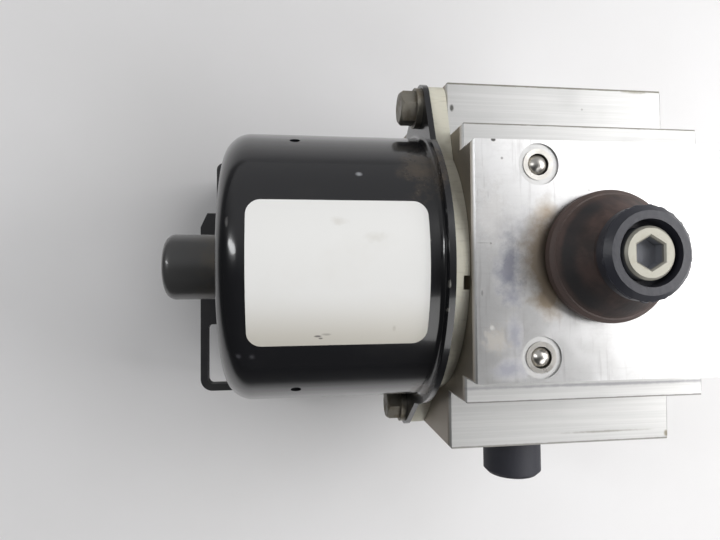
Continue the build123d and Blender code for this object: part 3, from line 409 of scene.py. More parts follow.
def make_speck_group() -> bpy.types.NodeTree:
    """Scattered round specks of uneven size: a mask that is 1 on a speck.

    Returns:
        The node group.
    """
    graph, source, sink = new_group(
        "Specks",
        {"Vector": (VECTOR, None), "Scale": (FLOAT, 500.0), "Size": (FLOAT, 0.12), "Share": (FLOAT, 0.2)},
        {"Mask": FLOAT},
    )
    cells = graph.node("ShaderNodeTexVoronoi")
    graph.join(source.outputs["Vector"], cells.inputs["Vector"])
    graph.join(source.outputs["Scale"], cells.inputs["Scale"])
    chosen = graph.node("ShaderNodeSeparateColor")
    graph.join(cells.outputs["Color"], chosen.inputs[0])
    kept = graph.math("LESS_THAN", chosen.outputs[0], source.outputs["Share"])
    radius = graph.math("MULTIPLY", source.outputs["Size"], chosen.outputs[1])
    inside = graph.math("LESS_THAN", cells.outputs["Distance"], radius)
    graph.join(graph.math("MULTIPLY", kept, inside), sink.inputs["Mask"])
    return graph.tree


def make_patch_group() -> bpy.types.NodeTree:
    """A local mark: a ragged mask round a point, and the plain distance in units of the mark's size.

    Returns:
        The node group.
    """
    graph, source, sink = new_group(
        "Patch",
        {"Vector": (VECTOR, None), "Centre": (VECTOR, None), "Size": (VECTOR, (0.01, 0.01, 0.01)),
         "Scale": (FLOAT, 400.0), "Ragged": (FLOAT, 0.5), "Soft": (FLOAT, 0.4)},
        {"Mask": FLOAT, "Distance": FLOAT},
    )
    offset = graph.node("ShaderNodeVectorMath", operation="SUBTRACT")
    graph.join(source.outputs["Vector"], offset.inputs[0])
    graph.join(source.outputs["Centre"], offset.inputs[1])
    scaled = graph.node("ShaderNodeVectorMath", operation="DIVIDE")
    graph.join(offset.outputs[0], scaled.inputs[0])
    graph.join(source.outputs["Size"], scaled.inputs[1])
    length = graph.node("ShaderNodeVectorMath", operation="LENGTH")
    graph.join(scaled.outputs[0], length.inputs[0])
    distance = length.outputs["Value"]
    uneven = graph.noise(source.outputs["Vector"], source.outputs["Scale"], 5.0, 0.65)
    wander = graph.math("MULTIPLY", graph.math("SUBTRACT", uneven, 0.5), source.outputs["Ragged"])
    inside = graph.math("ADD", graph.math("SUBTRACT", 1.0, distance), wander)
    graph.join(graph.math("DIVIDE", inside, source.outputs["Soft"], clamp=True), sink.inputs["Mask"])
    graph.join(distance, sink.inputs["Distance"])
    return graph.tree


# --- finishes ---------------------------------------------------------------------------------------


@dataclass(frozen=True)
class Mark:
    """One local stain, chip or scratch.

    Attributes:
        centre: Its middle in the part's frame, in millimetres.
        size: Half its length along X, Y and Z, in millimetres.
        colour: What shows there.
        weight: How strongly it covers.
        ragged: How far its edge wanders, in units of its size.
        soft: Over what share of its size it fades.
        scale: Scale of the wandering.
    """

    centre: tuple[float, float, float]
    size: tuple[float, float, float]
    colour: Colour
    weight: float
    ragged: float = 0.8
    soft: float = 0.5
    scale: float = 400.0


BLUE_GREY = (0.235, 0.24, 0.29)
RUST_BROWN = (0.27, 0.22, 0.165)
DARK_NICK = (0.05, 0.047, 0.042)
WIDE = 1000.0

CROWN_MARKS = (
    Mark((10.8, 6.4, 108.3), (7.5, 6.0, 2.0), (0.36, 0.36, 0.38), 0.70, 2.4, 0.9, 260.0),
    Mark((8.4, -1.5, 108.3), (4.2, 8.0, 2.0), BLUE_GREY, 0.85, 2.2, 0.8, 260.0),
    Mark((9.4, -6.5, 108.3), (3.0, 4.4, 2.0), BLUE_GREY, 0.80, 2.0, 0.7, 260.0),
    Mark((9.7, -16.3, 108.3), (2.4, 5.6, 2.0), BLUE_GREY, 0.75, 1.6, 0.8, 260.0),
    Mark((8.4, -24.4, 108.3), (5.4, 3.2, 2.0), BLUE_GREY, 0.75, 1.8, 0.8, 260.0),
    Mark((5.2, -17.8, 108.3), (3.6, 4.0, 2.0), (0.42, 0.37, 0.29), 0.40, 2.6, 0.7, 700.0),
    Mark((4.6, 10.0, 108.3), (4.5, 9.0, 2.0), (0.46, 0.45, 0.44), 0.45, 3.0, 0.6, 600.0),
    Mark((17.0, 1.0, 108.3), (7.0, 13.0, 2.0), RUST_BROWN, 0.92, 1.0, 0.6, 190.0),
    Mark((18.4, -8.2, 108.3), (5.4, 6.0, 2.0), RUST_BROWN, 0.95, 1.2, 0.6, 190.0),
    Mark((17.8, 11.0, 108.3), (3.6, 2.6, 2.0), (0.33, 0.24, 0.14), 0.45, 1.3, 0.9, 170.0),
    Mark((4.3, -15.1, 108.3), (0.70, 0.70, 1.0), (0.88, 0.87, 0.84), 0.45, 0.6, 0.6),
    Mark((2.1, -7.3, 108.3), (0.28, 0.85, 1.0), DARK_NICK, 0.60, 0.6, 0.6),
    Mark((7.2, 23.3, 108.3), (0.42, 0.42, 1.0), DARK_NICK, 0.65, 0.5, 0.6),
    Mark((28.2, 16.3, 108.3), (0.36, 0.36, 1.0), DARK_NICK, 0.40, 0.5, 0.6),
    Mark((5.2, 27.5, 108.3), (0.62, 0.50, 1.0), DARK_NICK, 0.90, 0.8, 0.4),
    Mark((2.4, 4.0, 108.3), (1.9, 0.10, 1.0), DARK_NICK, 0.55, 0.3, 0.6),
    Mark((4.3, 3.9, 108.3), (0.32, 0.28, 1.0), DARK_NICK, 0.65, 0.5, 0.5),
    Mark((2.9, 18.0, 108.3), (0.09, 2.6, 1.0), DARK_NICK, 0.40, 0.5, 0.8),
    Mark((3.8, 14.8, 108.3), (0.09, 1.3, 1.0), DARK_NICK, 0.55, 0.5, 0.8),
    Mark((1.4, 15.4, 108.3), (0.09, 1.5, 1.0), DARK_NICK, 0.45, 0.5, 0.8),
)

# The long dark lines along the shelves' edges are partly dirt and partly painted shade of the small chamfers there.
SHELF_MARKS = (
    Mark((30.0, 33.4, 101.0), (WIDE, 0.30, 1.0), (0.16, 0.15, 0.12), 0.75, 1.1, 0.6),
    Mark((30.0, -33.4, 101.0), (WIDE, 0.30, 1.0), (0.16, 0.15, 0.14), 0.75, 1.1, 0.6),
    Mark((30.0, -30.0, 101.0), (WIDE, 0.55, 1.0), (0.28, 0.28, 0.30), 0.55, 1.4, 0.8),
    Mark((30.0, 47.8, 88.3), (WIDE, 0.35, 1.0), (0.17, 0.16, 0.12), 0.75, 1.1, 0.6),
    Mark((30.0, -47.8, 88.3), (WIDE, 0.35, 1.0), (0.17, 0.16, 0.14), 0.65, 1.1, 0.6),
    Mark((44.0, -45.3, 88.3), (14.0, 0.40, 1.0), (0.24, 0.23, 0.20), 0.55, 1.2, 0.7),
    Mark((1.9, 41.2, 88.3), (0.70, 1.2, 1.5), DARK_NICK, 0.80, 0.8, 0.5),
    Mark((61.6, -46.6, 88.3), (0.9, 1.1, 1.5), (0.20, 0.17, 0.10), 0.70, 0.9, 0.5),
    Mark((54.0, 47.4, 88.3), (5.0, 0.45, 1.0), (0.24, 0.22, 0.16), 0.50, 1.8, 0.8),
)

CAN_MARKS = (
    # Painted highlight: a pale spot on the can's top for the glint of a small dent.
    Mark((-24.7, 20.4, 101.6), (0.95, 0.70, 0.9), (0.36, 0.37, 0.39), 0.75, 0.7, 0.8),
    Mark((-55.1, 11.1, 106.0), (0.5, 1.3, 2.0), (0.34, 0.33, 0.32), 0.50, 1.4, 0.8),
    Mark((-54.2, 8.6, 106.6), (0.45, 1.5, 2.0), (0.34, 0.33, 0.32), 0.45, 1.4, 0.8),
    Mark((-55.0, -17.0, 103.5), (0.8, 0.8, 2.0), (0.12, 0.12, 0.135), 0.45, 0.6, 0.9),
    Mark((-52.2, -21.1, 101.1), (0.9, 0.9, 1.5), (0.12, 0.12, 0.135), 0.50, 0.6, 0.9),
    Mark((-49.2, -21.2, 101.1), (0.9, 0.9, 1.5), (0.11, 0.11, 0.12), 0.40, 0.6, 0.9),
    Mark((-8.5, 22.5, 99.5), (7.0, 9.0, 9.0), (0.105, 0.078, 0.050), 0.65, 2.4, 1.0, 230.0),
    # Painted highlights: two short pale streaks on the bead at the can's root, by the flange.
    Mark((-6.0, -5.2, 110.5), (0.35, 1.1, 2.0), (0.34, 0.33, 0.30), 0.50, 1.8, 0.6, 900.0),
    Mark((-6.0, -10.9, 109.2), (0.35, 0.7, 2.0), (0.34, 0.33, 0.30), 0.40, 1.8, 0.6, 900.0),
    Mark((-7.0, -31.5, 86.0), (4.0, 4.0, 7.0), (0.17, 0.12, 0.08), 0.55, 2.4, 0.9, 300.0),
)


LABEL_MARKS = (
    Mark((-34.6, -16.6, 104.0), (0.95, 0.26, 1.0), (0.10, 0.09, 0.08), 0.85, 0.8, 0.5),
    Mark((-33.9, -17.1, 103.8), (0.55, 0.24, 1.0), (0.10, 0.09, 0.08), 0.80, 0.8, 0.5),
    Mark((-32.6, -16.2, 104.2), (1.25, 0.32, 1.0), (0.28, 0.26, 0.23), 0.60, 0.9, 0.6),
    Mark((-17.4, -15.0, 105.0), (0.50, 0.90, 1.0), (0.42, 0.39, 0.34), 0.45, 1.6, 0.7),
    Mark((-30.0, 8.8, 106.9), (2.2, 1.2, 1.5), (0.58, 0.55, 0.50), 0.40, 2.2, 0.8),
    Mark((-22.0, 5.2, 107.6), (3.0, 1.6, 1.5), (0.60, 0.58, 0.53), 0.35, 2.2, 0.8),
)


@dataclass(frozen=True)
class Finish:
    """Plain values of one surface.

    Attributes:
        colour: Base colour.
        roughness: Surface roughness.
        metallic: 1 for bare metal.
        coat: Weight of a clear coat.
        specular: Specular level.
    """

    colour: Colour
    roughness: float
    metallic: float = 0.0
    coat: float = 0.0
    specular: float = 0.5


PLAIN = {
    Slot.PLUG: Finish((0.68, 0.66, 0.62), 0.32, 1.0),
    Slot.INNER: Finish((0.55, 0.55, 0.56), 0.35, 1.0),
    Slot.COPPER: Finish((0.70, 0.34, 0.16), 0.32, 1.0),
    Slot.MAGNET: Finish((0.05, 0.05, 0.055), 0.6),
    Slot.CARBON: Finish((0.03, 0.03, 0.03), 0.5),
    Slot.BOARD: Finish((0.02, 0.12, 0.05), 0.4),
    Slot.COIL: Finish((0.04, 0.04, 0.045), 0.45),
    Slot.SEAL: Finish((0.03, 0.03, 0.03), 0.7),
    Slot.CONTACT: Finish((0.72, 0.62, 0.40), 0.3, 1.0),
    Slot.BRONZE: Finish((0.45, 0.30, 0.16), 0.45, 1.0),
}


class Paintshop:
    """Builds every material and gives it to its slot.

    Attributes:
        places: Shared positions.
    """

    def __init__(self, places: Places) -> None:
        """Makes the shared groups.

        Args:
            places: Shared positions.
        """
        self.places = places
        self.blotches = make_blotch_group()
        self.grain = make_grain_group()
        self.specks = make_speck_group()
        self.patch = make_patch_group()

    def start(self, slot: Slot, finish: Finish) -> tuple[bpy.types.Material, Graph, bpy.types.Node]:
        """Starts a material with one Principled surface.

        Args:
            slot: The record's slot.
            finish: Its plain values.

        Returns:
            The material, its graph and its Principled node.
        """
        material = bpy.data.materials.new(slot.value)
        material.use_nodes = True
        graph = Graph(material.node_tree)
        surface = material.node_tree.nodes["Principled BSDF"]
        surface.inputs["Base Color"].default_value = rgba(finish.colour)
        surface.inputs["Roughness"].default_value = finish.roughness
        surface.inputs["Metallic"].default_value = finish.metallic
        surface.inputs["Coat Weight"].default_value = finish.coat
        surface.inputs["Specular IOR Level"].default_value = finish.specular
        return material, graph, surface

    def marked(self, graph: Graph, place: object, base: object, marks: tuple[Mark, ...]) -> tuple[object, object]:
        """Lays local marks over a colour.

        Args:
            graph: The material's graph.
            place: Object coordinates.
            base: The colour underneath.
            marks: Marks from the lowest to the topmost.

        Returns:
            The marked colour, and how far the marks cover it.
        """
        cover = 0.0
        for mark in marks:
            patch = graph.use(
                self.patch, Vector=place, Centre=Vector(mark.centre) * MM, Size=Vector(mark.size) * MM,
                Scale=mark.scale, Ragged=mark.ragged, Soft=mark.soft,
            )
            share = graph.math("MULTIPLY", patch.outputs["Mask"], mark.weight)
            base = graph.mix(share, base, mark.colour)
            cover = graph.math("MAXIMUM", share, cover)
        return base, cover

    def bump(self, graph: Graph, surface: bpy.types.Node, height: object, strength: float, distance: float) -> None:
        """Bends a surface's normal by a height.

        Args:
            graph: The material's graph.
            surface: Its Principled node.
            height: The height value.
            strength: Strength of the bump.
            distance: Depth in metres.
        """
        bump = graph.node("ShaderNodeBump")
        bump.inputs["Strength"].default_value = strength
        bump.inputs["Distance"].default_value = distance
        graph.join(height, bump.inputs["Height"])
        graph.join(bump.outputs[0], surface.inputs["Normal"])

    def plain(self, slot: Slot) -> bpy.types.Material:
        """A finish with faint unevenness of colour and gloss.

        Args:
            slot: The record's slot.

        Returns:
            The material.
        """
        finish = PLAIN[slot]
        material, graph, surface = self.start(slot, finish)
        place = graph.place()
        uneven = graph.ramp(graph.noise(place, 220.0), 0.3, 0.7)
        dull = tuple(0.72 * part for part in finish.colour)
        graph.join(graph.mix(uneven, finish.colour, dull), surface.inputs["Base Color"])
        rough = graph.math("MULTIPLY", uneven, 0.12)
        graph.join(graph.math("ADD", rough, finish.roughness - 0.05), surface.inputs["Roughness"])
        self.bump(graph, surface, graph.noise(place, 900.0), 0.08, 0.0002)
        return material

    def aluminium(self) -> bpy.types.Material:
        """The block: a bright crown with stains and scratches, and drawn shelves with lines along X.

        Returns:
            The material.
        """
        finish = Finish((0.67, 0.67, 0.67), 0.34, 1.0)
        material, graph, surface = self.start(Slot.BLOCK, finish)
        place = graph.place()
        x, _, z = graph.parts(place)
        crown = graph.ramp(z, self.places.crown_z - 0.5 * MM, self.places.crown_z - 0.2 * MM)
        lines = graph.use(self.grain, Vector=graph.mapped(place, (18.0, 1500.0, 1500.0)), Strength=0.28)
        fine = graph.use(self.grain, Vector=graph.mapped(place, (1500.0, 700.0, 700.0)), Strength=0.28)
        normal = graph.node("ShaderNodeMix", data_type="VECTOR")
        graph.join(crown, normal.inputs["Factor"])
        graph.join(lines.outputs["Normal"], normal.inputs[4])
        graph.join(fine.outputs["Normal"], normal.inputs[5])
        lining = graph.ramp(lines.outputs["Value"], 0.36, 0.60)
        streaked = graph.mix(graph.math("MULTIPLY", lining, 0.26), (0.52, 0.52, 0.515), (0.36, 0.36, 0.36))
        stains = graph.use(self.blotches, Vector=place, Scale=75.0, Cover=0.50, Soft=0.22)
        mottle = graph.use(self.blotches, Vector=place, Scale=430.0, Cover=0.52, Soft=0.35)
        stained = graph.mix(graph.math("MULTIPLY", stains.outputs[0], 0.22), finish.colour, (0.47, 0.47, 0.50))
        stained = graph.mix(graph.math("MULTIPLY", mottle.outputs[0], 0.40), stained, (0.46, 0.45, 0.45))
        for stretch, weight in (((900.0, 60.0, 1.0), 0.34), ((110.0, 1300.0, 1.0), 0.12)):
            scratches = graph.noise(graph.mapped(place, stretch), 1.0)
            scratched = graph.math("MULTIPLY", graph.ramp(scratches, 0.54, 0.70), weight)
            stained = graph.mix(scratched, stained, (0.38, 0.37, 0.37))
        stained, crown_cover = self.marked(graph, place, stained, CROWN_MARKS)
        streaked, shelf_cover = self.marked(graph, place, streaked, SHELF_MARKS)
        base = graph.mix(crown, streaked, stained)
        # Painted shade: the end face towards the motor is darkened to brown grey, standing in for the can's shadow and
        # the black can it mirrors.
        shade = graph.math("MULTIPLY", graph.ramp(x, 0.7 * MM, 0.0), 0.75)
        base = graph.mix(shade, base, (0.36, 0.31, 0.25))
        specks = graph.use(self.specks, Vector=place, Scale=260.0, Size=0.11, Share=0.10)
        base = graph.mix(graph.math("MULTIPLY", specks.outputs[0], 0.45), base, (0.20, 0.19, 0.18))
        graph.join(base, surface.inputs["Base Color"])
        cover = graph.math("MAXIMUM", crown_cover, shelf_cover)
        rough = graph.math("ADD", graph.math("MULTIPLY", crown, -0.18), 0.49)
        rough = graph.math("ADD", rough, graph.math("MULTIPLY", stains.outputs[0], 0.08))
        graph.join(graph.math("ADD", rough, graph.math("MULTIPLY", cover, 0.2)), surface.inputs["Roughness"])
        graph.join(normal.outputs[1], surface.inputs["Normal"])
        return material

    def can_paint(self) -> bpy.types.Material:
        """Glossy black paint, duller and greyer on the boss, with dust, chips, a painted glint of a small dent and
        painted highlights on the bead at its root.

        Returns:
            The material.
        """
        finish = Finish((0.0105, 0.0107, 0.0125), 0.20, 0.0, 0.35)
        material, graph, surface = self.start(Slot.CAN, finish)
        place = graph.place()
        x, _, _ = graph.parts(place)
        film = graph.use(self.blotches, Vector=place, Scale=70.0, Cover=0.52, Soft=0.35)
        base = graph.mix(graph.math("MULTIPLY", film.outputs[0], 0.03), finish.colour, (0.22, 0.20, 0.18))
        on_boss = graph.ramp(x, self.places.can_end + 0.8 * MM, self.places.can_end - 0.4 * MM)
        base = graph.mix(graph.math("MULTIPLY", on_boss, 0.9), base, (0.070, 0.070, 0.070))
        dust_noise = graph.use(self.blotches, Vector=place, Scale=160.0, Cover=0.62, Soft=0.3)
        near_root = graph.ramp(x, self.places.can_end - 11 * MM, self.places.can_end - 1 * MM)
        root = graph.math("MULTIPLY", graph.math("MULTIPLY", near_root, on_boss), dust_noise.outputs[0])
        base = graph.mix(graph.math("MULTIPLY", root, 0.6), base, (0.14, 0.11, 0.07))
        specks = graph.use(self.specks, Vector=place, Scale=420.0, Size=0.10, Share=0.05)
        base = graph.mix(graph.math("MULTIPLY", specks.outputs[0], 0.35), base, (0.45, 0.43, 0.40))
        base, cover = self.marked(graph, place, base, CAN_MARKS)
        graph.join(base, surface.inputs["Base Color"])
        rough = graph.math("ADD", graph.math("MULTIPLY", film.outputs[0], 0.06), 0.18)
        rough = graph.math("ADD", rough, graph.math("MULTIPLY", on_boss, 0.16))
        rough = graph.math("ADD", rough, graph.math("MULTIPLY", root, 0.3))
        graph.join(graph.math("ADD", rough, graph.math("MULTIPLY", cover, 0.4)), surface.inputs["Roughness"])
        self.bump(graph, surface, graph.noise(place, 420.0, 2.0), 0.05, 0.0002)
        return material

    def nylon(self) -> bpy.types.Material:
        """Natural nylon gone olive grey, with brown dirt in streaks.

        Returns:
            The material.
        """
        finish = Finish((0.64, 0.62, 0.52), 0.5)
        material, graph, surface = self.start(Slot.NYLON, finish)
        place = graph.place()
        dirt = graph.use(self.blotches, Vector=place, Scale=110.0, Cover=0.50, Soft=0.3)
        base = graph.mix(graph.math("MULTIPLY", dirt.outputs[0], 0.45), finish.colour, (0.38, 0.34, 0.25))
        streak = graph.noise(graph.mapped(place, (200.0, 1500.0, 200.0)), 1.0)
        base = graph.mix(graph.math("MULTIPLY", graph.ramp(streak, 0.5, 0.75), 0.22), base, (0.20, 0.17, 0.12))
        graph.join(base, surface.inputs["Base Color"])
        surface.inputs["Subsurface Weight"].default_value = 0.08
        surface.inputs["Subsurface Radius"].default_value = (0.002, 0.0015, 0.001)
        self.bump(graph, surface, graph.noise(place, 600.0), 0.12, 0.0002)
        return material

    def screw_steel(self) -> bpy.types.Material:
        """Dull plated steel with rust and black dirt.

        Returns:
            The material.
        """
        finish = Finish((0.25, 0.235, 0.20), 0.5, 0.7)
        material, graph, surface = self.start(Slot.SCREW, finish)
        place = graph.place()
        rust = graph.use(self.blotches, Vector=place, Scale=300.0, Cover=0.5, Soft=0.2)
        base = graph.mix(graph.math("MULTIPLY", rust.outputs[0], 0.6), finish.colour, (0.17, 0.125, 0.075))
        graph.join(base, surface.inputs["Base Color"])
        graph.join(graph.math("ADD", graph.math("MULTIPLY", rust.outputs[0], 0.3), 0.42), surface.inputs["Roughness"])
        self.bump(graph, surface, rust.outputs[0], 0.3, 0.0001)
        return material

    def stud_steel(self) -> bpy.types.Material:
        """Matt steel of the studs, scuffed on the rim, with painted shade inside the socket.

        Returns:
            The material.
        """
        finish = Finish((0.385, 0.375, 0.33), 0.6, 0.85)
        material, graph, surface = self.start(Slot.STUD, finish)
        place = graph.place()
        _, _, z = graph.parts(place)
        scuff = graph.use(self.blotches, Vector=place, Scale=620.0, Cover=0.50, Soft=0.3)
        base = graph.mix(graph.math("MULTIPLY", scuff.outputs[0], 0.5), finish.colour, (0.30, 0.28, 0.22))
        # Painted shade: inside the socket, below the rim, the steel is darkened to bluish grey and made less metallic.
        below_rim = graph.ramp(z, self.places.stud_top - 0.4 * MM, self.places.stud_top - 1.3 * MM)
        socket_shade = graph.math("MULTIPLY", below_rim, graph.ramp(z, self.places.crown_z, self.places.crown_z + 1 * MM))
        base = graph.mix(graph.math("MULTIPLY", socket_shade, 0.85), base, (0.17, 0.18, 0.215))
        graph.join(graph.math("ADD", graph.math("MULTIPLY", socket_shade, -0.65), finish.metallic), surface.inputs["Metallic"])
        graph.join(base, surface.inputs["Base Color"])
        self.bump(graph, surface, graph.noise(place, 900.0), 0.15, 0.0002)
        return material

    def label_paper(self) -> bpy.types.Material:
        """The bare white label, darker and yellower towards its near edge, partly painted shade and partly yellowing,
        with faint scuffs.

        Returns:
            The material.
        """
        finish = Finish((0.79, 0.79, 0.775), 0.42)
        material, graph, surface = self.start(Slot.LABEL, finish)
        place = graph.place()
        _, y, _ = graph.parts(place)
        # Painted shade with some yellowing: the label darkens and warms towards its near edge, which turns away from
        # the light.
        shaded_and_yellowed = graph.ramp(y, -6 * MM, -19 * MM)
        base = graph.mix(graph.math("MULTIPLY", shaded_and_yellowed, 0.60), finish.colour, (0.47, 0.43, 0.34))
        cloudy = graph.use(self.blotches, Vector=place, Scale=90.0, Cover=0.5, Soft=0.4)
        base = graph.mix(graph.math("MULTIPLY", cloudy.outputs[0], 0.22), base, (0.66, 0.645, 0.60))
        marks = graph.use(self.specks, Vector=graph.mapped(place, (1.0, 2.2, 1.0)), Scale=230.0, Size=0.10, Share=0.07)
        base = graph.mix(graph.math("MULTIPLY", marks.outputs[0], 0.35), base, (0.30, 0.28, 0.25))
        base, _ = self.marked(graph, place, base, LABEL_MARKS)
        graph.join(base, surface.inputs["Base Color"])
        self.bump(graph, surface, graph.noise(place, 300.0), 0.06, 0.0002)
        return material

    def mount_rubber(self) -> bpy.types.Material:
        """Rubber that is rusty brown, with painted shade on its near side and in a strip up to the waist on the taper's
        left side, and bluish black at the collar.

        Returns:
            The material.
        """
        finish = Finish((0.030, 0.031, 0.041), 0.42, 0.0, 0.0, 0.45)
        material, graph, surface = self.start(Slot.RUBBER, finish)
        place = graph.place()
        x, y, z = graph.parts(place)
        low = self.places.crown_z
        top_brown = graph.ramp(z, low + 11.6 * MM, low + 10.2 * MM)
        on_top = graph.ramp(z, low - 0.2 * MM, low)
        uneven = graph.noise(place, 170.0)
        brown = graph.mix(graph.ramp(uneven, 0.35, 0.65), (0.040, 0.028, 0.025), (0.095, 0.060, 0.052))
        middle_x, middle_y, _ = self.places.mount
        # Painted shade: the rubber darkens towards its near side (-Y), away from the light.
        near_side_shade = graph.math("MULTIPLY", graph.ramp(y, middle_y + 3 * MM, middle_y - 7 * MM), 0.35)
        brown = graph.mix(near_side_shade, brown, (0.020, 0.021, 0.024))
        streak = graph.noise(graph.mapped(place, (200.0, 200.0, 60.0)), 1.0)
        brown = graph.mix(graph.math("MULTIPLY", graph.ramp(streak, 0.46, 0.70), 0.6), brown, (0.030, 0.026, 0.027))
        # Painted shade: a dark strip on the taper's left side, 4 to 8 mm above the crown, where the foot's rim meets
        # the taper.
        above_foot = graph.ramp(z, low + 4.0 * MM, low + 5.0 * MM)
        taper_shade = graph.math("MULTIPLY", above_foot, graph.ramp(z, low + 8.0 * MM, low + 6.0 * MM))
        left = graph.ramp(x, middle_x + 1 * MM, middle_x - 8 * MM)
        brown = graph.mix(graph.math("MULTIPLY", graph.math("MULTIPLY", taper_shade, left), 0.8), brown, (0.022, 0.022, 0.024))
        foot = graph.ramp(z, low + 4.6 * MM, low + 3.0 * MM)
        dusty = graph.mix(graph.math("MULTIPLY", foot, 0.8), brown, (0.100, 0.071, 0.063))
        base = graph.mix(graph.math("MULTIPLY", top_brown, on_top), finish.colour, dusty)
        scuffs = graph.use(self.specks, Vector=place, Scale=330.0, Size=0.10, Share=0.08)
        base = graph.mix(graph.math("MULTIPLY", scuffs.outputs[0], 0.4), base, (0.16, 0.15, 0.15))
        graph.join(base, surface.inputs["Base Color"])
        graph.join(graph.math("ADD", graph.math("MULTIPLY", top_brown, 0.2), 0.42), surface.inputs["Roughness"])
        self.bump(graph, surface, graph.noise(place, 700.0), 0.25, 0.0003)
        return material

    def case_plastic(self) -> bpy.types.Material:
        """Black moulded plastic with a fine grain and a little dust.

        Returns:
            The material.
        """
        finish = Finish((0.018, 0.018, 0.020), 0.48)
        material, graph, surface = self.start(Slot.CASE, finish)
        place = graph.place()
        dust = graph.use(self.blotches, Vector=place, Scale=60.0, Cover=0.5, Soft=0.4)
        base = graph.mix(graph.math("MULTIPLY", dust.outputs[0], 0.10), finish.colour, (0.20, 0.18, 0.15))
        specks = graph.use(self.specks, Vector=place, Scale=240.0, Size=0.08, Share=0.06)
        base = graph.mix(graph.math("MULTIPLY", specks.outputs[0], 0.3), base, (0.18, 0.17, 0.15))
        graph.join(base, surface.inputs["Base Color"])
        graph.join(graph.math("ADD", graph.math("MULTIPLY", dust.outputs[0], 0.12), 0.42), surface.inputs["Roughness"])
        self.bump(graph, surface, graph.noise(place, 1500.0), 0.15, 0.0002)
        return material

    def paint(self) -> dict[Slot, bpy.types.Material]:
        """Builds all materials.

        Returns:
            Material by slot.
        """
        made = {
            Slot.BLOCK: self.aluminium(),
            Slot.CAN: self.can_paint(),
            Slot.NYLON: self.nylon(),
            Slot.SCREW: self.screw_steel(),
            Slot.STUD: self.stud_steel(),
            Slot.LABEL: self.label_paper(),
            Slot.RUBBER: self.mount_rubber(),
            Slot.CASE: self.case_plastic(),
        }
        for slot in PLAIN:
            made[slot] = self.plain(slot)
        return made


# --- pieces -----------------------------------------------------------------------------------------


class Recipe:
    """A Geometry Nodes tree with named inputs, run once on a carrier mesh.

    Attributes:
        tree: The node tree.
        graph: Its helper.
        source: The group input node.
    """

    def __init__(self, name: str, inputs: dict[str, float]) -> None:
        """Starts the tree.

        Args:
            name: The tree's name.
            inputs: Default value by input name.
        """
        self.tree = bpy.data.node_groups.new(name, "GeometryNodeTree")
        self.tree.interface.new_socket("Geometry", in_out="INPUT", socket_type="NodeSocketGeometry")
        for label, value in inputs.items():
            self.tree.interface.new_socket(label, in_out="INPUT", socket_type=FLOAT).default_value = value
        self.tree.interface.new_socket("Material", in_out="INPUT", socket_type="NodeSocketMaterial")
        self.tree.interface.new_socket("Geometry", in_out="OUTPUT", socket_type="NodeSocketGeometry")
        self.graph = Graph(self.tree)
        self.source = self.graph.node("NodeGroupInput")

    def end(self, geometry: object) -> None:
        """Closes the tree with Realize Instances and Set Material.

        Args:
            geometry: The last geometry output.
        """
        real = self.graph.node("GeometryNodeRealizeInstances")
        painted = self.graph.node("GeometryNodeSetMaterial")
        sink = self.graph.node("NodeGroupOutput")
        self.graph.join(geometry, real.inputs[0])
        self.graph.join(real.outputs[0], painted.inputs["Geometry"])
        self.graph.join(self.source.outputs["Material"], painted.inputs["Material"])
        self.graph.join(painted.outputs[0], sink.inputs[0])

    def run(
        self, name: str, spots: list[Vector], values: dict[str, float], material: bpy.types.Material
    ) -> bpy.types.Object:
        """Runs the tree on loose points and keeps the result as a plain mesh.

        Args:
            name: The new piece's name.
            spots: The carrier's points.
            values: Input values by name.
            material: The piece's material.

        Returns:
            The piece, at the origin and without modifiers.
        """
        points = bpy.data.meshes.new(name + "_points")
        points.from_pydata([tuple(spot) for spot in spots], [], [])
        carrier = bpy.data.objects.new(name + "_carrier", points)
        bpy.context.scene.collection.objects.link(carrier)
        modifier = carrier.modifiers.new("recipe", "NODES")
        modifier.node_group = self.tree
        for item in self.tree.interface.items_tree:
            if item.in_out == "INPUT" and item.name in values:
                modifier[item.identifier] = values[item.name]
            if item.in_out == "INPUT" and item.name == "Material":
                modifier[item.identifier] = material
        bpy.context.view_layer.update()
        evaluated = carrier.evaluated_get(bpy.context.evaluated_depsgraph_get())
        piece = bpy.data.objects.new(name, bpy.data.meshes.new_from_object(evaluated))
        bpy.context.scene.collection.objects.link(piece)
        bpy.data.objects.remove(carrier)
        LOG.info("%s: %d faces", name, len(piece.data.polygons))
        return piece


def make_thread_recipe() -> Recipe:
    """A thread's ridge, wound once round each point and running into the block.

    Returns:
        The recipe.
    """
    recipe = Recipe("Thread", {"Radius": 0.005, "Pitch": 0.001, "Length": 0.01, "Ridge": 0.0004})
    graph, source = recipe.graph, recipe.source
    winding = graph.node("GeometryNodeCurveSpiral")
    winding.inputs["Resolution"].default_value = 28
    graph.join(graph.math("DIVIDE", source.outputs["Length"], source.outputs["Pitch"]), winding.inputs["Rotations"])
    graph.join(source.outputs["Radius"], winding.inputs["Start Radius"])
    graph.join(source.outputs["Radius"], winding.inputs["End Radius"])
    graph.join(source.outputs["Length"], winding.inputs["Height"])
    section = graph.node("GeometryNodeCurvePrimitiveCircle")
    section.inputs["Resolution"].default_value = 4
    graph.join(source.outputs["Ridge"], section.inputs["Radius"])
    swept = graph.node("GeometryNodeCurveToMesh")
    swept.inputs["Fill Caps"].default_value = True
    graph.join(winding.outputs[0], swept.inputs["Curve"])
    graph.join(section.outputs[0], swept.inputs["Profile Curve"])
    placed = graph.node("GeometryNodeInstanceOnPoints")
    graph.join(source.outputs["Geometry"], placed.inputs["Points"])
    graph.join(swept.outputs[0], placed.inputs["Instance"])
    placed.inputs["Rotation"].default_value = (0.0, -math.pi / 2, 0.0)
    recipe.end(placed.outputs[0])
    return recipe


